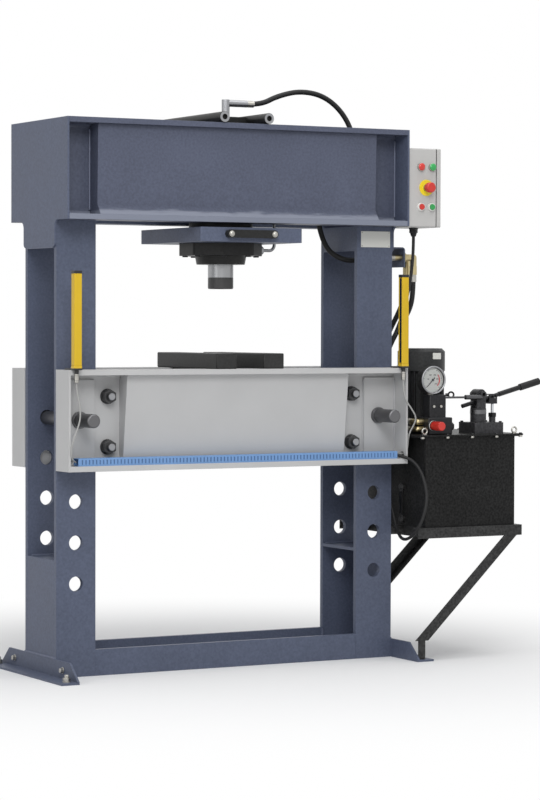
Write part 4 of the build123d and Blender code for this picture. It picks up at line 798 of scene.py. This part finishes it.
# Pressure gauge: heights of the print are measured from the dial's plane to the front
GAUGE, DIAL, GAUGE_SIDES = (800, -281, 1068), (-0.4, 0.6, 47.2, 3.1), 64
SCALE_START, SCALE_SWEEP, SCALE_TICKS, TICKS_TO_LONG, TICKS_TO_MIDDLE = 225, 270, 50, 10, 5
LONG_TICK, MIDDLE_TICK, SHORT_TICK = (36.5, 0.7), (38.5, 0.35), (40.2, 0.35)
TICK_END, TICK_HEIGHTS = 43.5, (0.4, 0.8)
RED_START, RED_RADII, RED_HEIGHTS, RED_STEPS = 0.68, (28.5, 33.5), (0.4, 0.9), 24
NUMBER_STEP, NUMBER_COUNT, NUMBER_RADIUS, NUMBER_HEIGHT = 100, 6, 21.2, 0.9
NUMBER_SIZE, NUMBER_THICK = 7.8, 0.2
BEZEL_REACH, BEZEL_RADIUS, BEZEL_WIRE = 9.2, 50.7, 3.2
GAUGE_GLASS, GAUGE_STEM, GAUGE_NUT = (6.8, 7.8, 47.4), (800, -266, 0), (1012, 1019, 22)


def scale_angle(share):
    """Angle of a share of the scale, clockwise from the top."""
    return math.radians(SCALE_START + SCALE_SWEEP * share)


def dial_point(share, radius, lift):
    """The point of the dial at a share of the scale."""
    a = scale_angle(share)
    x, y, z = GAUGE
    return (x + radius * math.sin(a), y - lift, z + radius * math.cos(a))


Made().tubes(GAUGE, TO_FRONT, DIAL, sides=GAUGE_SIDES).done("gauge_dial", "dial")
ticks = Made()
for i in range(SCALE_TICKS + 1):
    share = i / SCALE_TICKS
    near, half = SHORT_TICK
    if i % TICKS_TO_LONG == 0:
        near, half = LONG_TICK
    elif i % TICKS_TO_MIDDLE == 0:
        near, half = MIDDLE_TICK
    across = Vector((math.cos(scale_angle(share)), 0, -math.sin(scale_angle(share)))) * half
    loops = []
    for lift in TICK_HEIGHTS:
        p, q = (Vector(dial_point(share, radius, lift)) for radius in (near, TICK_END))
        loops.append([mm(*v) for v in (p - across, q - across, q + across, p + across)])
    ticks.skin(loops)
ticks.done("gauge_ticks", "ink")
loops = []
for i in range(RED_STEPS + 1):
    share = RED_START + (1 - RED_START) * i / RED_STEPS
    (inner, outer), (low, high) = RED_RADII, RED_HEIGHTS
    corners = ((inner, low), (outer, low), (outer, high), (inner, high))
    loops.append([mm(*dial_point(share, radius, lift)) for radius, lift in corners])
Made().skin(loops).done("gauge_sector", "dial_red")
for i in range(NUMBER_COUNT):
    text = bpy.data.curves.new("gauge_number", "FONT")
    text.body = str(NUMBER_STEP * i)
    text.size = NUMBER_SIZE * MM
    text.extrude = NUMBER_THICK * MM
    text.align_x = "CENTER"
    text.align_y = "CENTER"
    mesh = made_mesh("gauge_number", text)
    at = mm(*dial_point(i / (NUMBER_COUNT - 1), NUMBER_RADIUS, NUMBER_HEIGHT))
    mesh.transform(Matrix.Translation(at) @ Matrix.Rotation(math.radians(90), 4, "X"))
    mesh.materials.clear()
    mesh.materials.append(M["ink"])
    o = bpy.data.objects.new(f"gauge_number_{i}", mesh)
    scene.collection.objects.link(o)
    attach(o, "frame")
bezel = Made().ring(on(GAUGE, TO_FRONT, BEZEL_REACH), Y, BEZEL_RADIUS, BEZEL_WIRE, around=GAUGE_SIDES)
bezel.done("gauge_bezel", "steel")
Made().turned(GAUGE, TO_FRONT, GAUGE_GLASS, sides=GAUGE_SIDES).done("gauge_glass", "glass")
Made().nuts(GAUGE_STEM, Z, GAUGE_NUT).done("gauge_nut", "zinc", bevel=0.6)


# Level gauge on the tank
LEVEL_BACK = ((734.6, -169, 548), (739.6, -147, 639))
LEVEL_GLASS = ((732.6, -164, 553), (734.6, -152, 634))
LEVEL_BLOCKS = (((736, -167, 536), (739.4, -149, 548)), ((736, -167, 639), (739.4, -149, 651)))
LEVEL_BOLT_Y, LEVEL_BOLT_ZS, LEVEL_WASHER, LEVEL_HEAD = -158, (531, 656), (739.2, 736, 12), (736, 730.5, 17)
Made().box(*LEVEL_BACK).done("level_back", "oxide", bevel=1.0)
Made().box(*LEVEL_GLASS).done("level_glass", "glass", bevel=0.4)
banjo = Made()
for z in LEVEL_BOLT_ZS:
    at = (0, LEVEL_BOLT_Y, z)
    banjo.turned(at, X, LEVEL_WASHER).nuts(at, X, LEVEL_HEAD)
for block in LEVEL_BLOCKS:
    banjo.box(*block)
banjo.done("level_bolts", "nut", bevel=0.6)


# Relief knob, hand pump and trolley
KNOB, KNOB_COLLAR = (793, -300.2, 894), (0, 3.7, 19.5, 18.6)
PLUNGER, PLUNGER_NUT = (1107, -229, 0), (922, 937.5, 17, 12.9)
PUMP, PUMP_COLLAR = (1042, -229, 0), (934, 950, 31.8, 30.6)
BAR_XS, BAR_Z, BAR_RING = (-84, 101), 2038.3, (255.6, 257, 19.2, 10.3)
Made().tubes(KNOB, TO_FRONT, KNOB_COLLAR).done("knob_collar", "white", bevel=0.4)
Made().tubes(PLUNGER, Z, PLUNGER_NUT, sides=6).done("pump_nuts", "oxide", bevel=0.4)
Made().tubes(PUMP, Z, PUMP_COLLAR).done("pump_collar", "pin", bevel=0.4)

# Crimped hose ends: body, then start and end of each
FERRULES = {
    "bracket_ferrules": ("frame", ((714, -40, 1538), (741.8, -40, 1538)),
                         ((714, -90, 1538), (741.8, -90, 1538))),
    "pump_ferrules": ("frame", ((751, -190, 908), (751, -215.8, 908)),
                      ((751, -190, 880), (751, -215.8, 880))),
    "drop_ferrules": ("frame", ((830, -90, 1471.8), (830, -90, 1444)),
                      ((830, -40, 1471.8), (830, -40, 1444))),
    "top_ferrule": ("carriage", ((144.2, 0, 2110.3), (172, 0, 2110.3))),
    "low_ferrule": ("carriage", ((264, 0, 1736.2), (264, 0, 1762))),
}
FERRULE_OUTER, FERRULE_INNER = 12.2, 10.1
RIDGE_OUTER, RIDGE_INNER, RIDGE_HALF, RIDGE_SHARES = 12.8, 12.1, 1.2, (0.2, 0.4, 0.6, 0.8)
for name, (body, *pairs) in FERRULES.items():
    ferrule = Made()
    for start, end in pairs:
        ferrule.sleeve(start, end, FERRULE_OUTER, FERRULE_INNER)
        start, end = Vector(start), Vector(end)
        step = (end - start).normalized() * RIDGE_HALF
        for share in RIDGE_SHARES:
            middle = start.lerp(end, share)
            ferrule.sleeve(middle - step, middle + step, RIDGE_OUTER, RIDGE_INNER)
    ferrule.done(name, "zinc", body)
caps = Made()
for x in BAR_XS:
    for face in BOTH:
        caps.tubes((x, 0, BAR_Z), (0, face, 0), BAR_RING)
caps.done("rod_end_rings", "steel", "carriage")


# Camera, fitted to the photo: its place in metres and its turn in degrees
CAMERA_AT = (-4.800, -9.197, 1.291)
YAW, PITCH, ROLL = math.radians(28.76), math.radians(1.64), math.radians(0.154)
SENSOR, FOCAL_PIXELS, PICTURE_PIXELS, SIGHT = 36, 2756, 800, 200
ahead = Vector((math.sin(YAW) * math.cos(PITCH), math.cos(YAW) * math.cos(PITCH), -math.sin(PITCH)))
right = Vector((math.cos(YAW), -math.sin(YAW), 0))
up = right.cross(ahead)
side = right * math.cos(ROLL) + up * math.sin(ROLL)
top = up * math.cos(ROLL) - right * math.sin(ROLL)
camera = bpy.data.cameras.new("camera")
camera.lens = FOCAL_PIXELS / PICTURE_PIXELS * SENSOR
camera.sensor_width = SENSOR
camera.clip_end = SIGHT
eye = bpy.data.objects.new("camera", camera)
eye.matrix_world = Matrix.Translation(CAMERA_AT) @ Matrix((side, top, -ahead)).transposed().to_4x4()
scene.collection.objects.link(eye)
scene.camera = eye


# Floor, backdrop and light, in metres
FLOOR_HALF, FLOOR_TONE, FLOOR_ROUGH, FLOOR_GLOSS, FLOOR_FADE = 60, 0.88, 0.9, 0.1, (0.7, 2.6)
WHITE, SKY, SKY_LEVEL = (1, 1, 1, 1), (0.97, 0.98, 1.0, 1), 0.45
# Name, place, target, size and power
LIGHTS = (
    ("key", (-2.6, -6.0, 5.2), (0.1, 0, 1.0), (3.5, 3.0), 250),
    ("overhead", (0.5, -1.0, 6.0), (0.2, 0, 0.8), (5.0, 4.0), 130),
    ("fill", (-6.5, -2.0, 2.6), (0, 0, 1.0), (3.0, 3.0), 48),
)


def seen_directly(tree):
    """One for what the camera sees, straight or in metal and through glass."""
    path = add(tree, "LightPath").outputs
    straight = maths(tree, "MAXIMUM", path["Is Camera Ray"], path["Is Glossy Ray"])
    return maths(tree, "MAXIMUM", straight, path["Is Transmission Ray"])


def mixed(tree, share, first, second, target):
    """Two shaders mixed by a share into an output node."""
    mix = add(tree, "MixShader")
    tree.links.new(share, mix.inputs["Fac"])
    tree.links.new(first, mix.inputs[1])
    tree.links.new(second, mix.inputs[2])
    tree.links.new(mix.outputs["Shader"], target.inputs["Surface"])


def floor_material():
    """Pale floor that turns to plain white for the camera away from the object."""
    m = bpy.data.materials.new("floor_pale")
    m.use_nodes = True
    tree = m.node_tree
    bsdf = tree.nodes["Principled BSDF"]
    bsdf.inputs["Base Color"].default_value = (FLOOR_TONE, FLOOR_TONE, FLOOR_TONE, 1)
    bsdf.inputs["Roughness"].default_value = FLOOR_ROUGH
    bsdf.inputs["Specular IOR Level"].default_value = FLOOR_GLOSS
    white = add(tree, "Emission", Strength=1.0)
    far = add(tree, "VectorMath")
    far.operation = "LENGTH"
    tree.links.new(add(tree, "TexCoord").outputs["Object"], far.inputs[0])
    fade = ranged(tree, far.outputs["Value"], FLOOR_FADE, smooth=True)
    share = maths(tree, "MULTIPLY", fade, seen_directly(tree))
    mixed(tree, share, bsdf.outputs["BSDF"], white.outputs["Emission"], tree.nodes["Material Output"])
    return m


def lamp(name, place, target, size, power):
    """A soft rectangular light that faces a target."""
    light = bpy.data.lights.new(name, "AREA")
    light.shape = "RECTANGLE"
    light.size, light.size_y = size
    light.energy = power
    o = bpy.data.objects.new(name, light)
    o.location = place
    o.rotation_euler = (Vector(target) - Vector(place)).to_track_quat("-Z", "Y").to_euler()
    scene.collection.objects.link(o)
    return o


floor_mesh = bpy.data.meshes.new("floor")
corners = [(x * FLOOR_HALF, y * FLOOR_HALF, 0) for x, y in ((-1, -1), (1, -1), (1, 1), (-1, 1))]
floor_mesh.from_pydata(corners, [], [(0, 1, 2, 3)])
floor_mesh.materials.append(floor_material())
floor = bpy.data.objects.new("floor", floor_mesh)
scene.collection.objects.link(floor)

world = bpy.data.worlds.new("studio")
scene.world = world
world.use_nodes = True
tree = world.node_tree
tree.nodes.clear()
seen = add(tree, "Background", Color=WHITE, Strength=1.0)
lit = add(tree, "Background", Color=SKY, Strength=SKY_LEVEL)
backdrop = add(tree, "OutputWorld")
mixed(tree, seen_directly(tree), lit.outputs["Background"], seen.outputs["Background"], backdrop)

lamps = [lamp(*row) for row in LIGHTS]

bpy.context.view_layer.update()
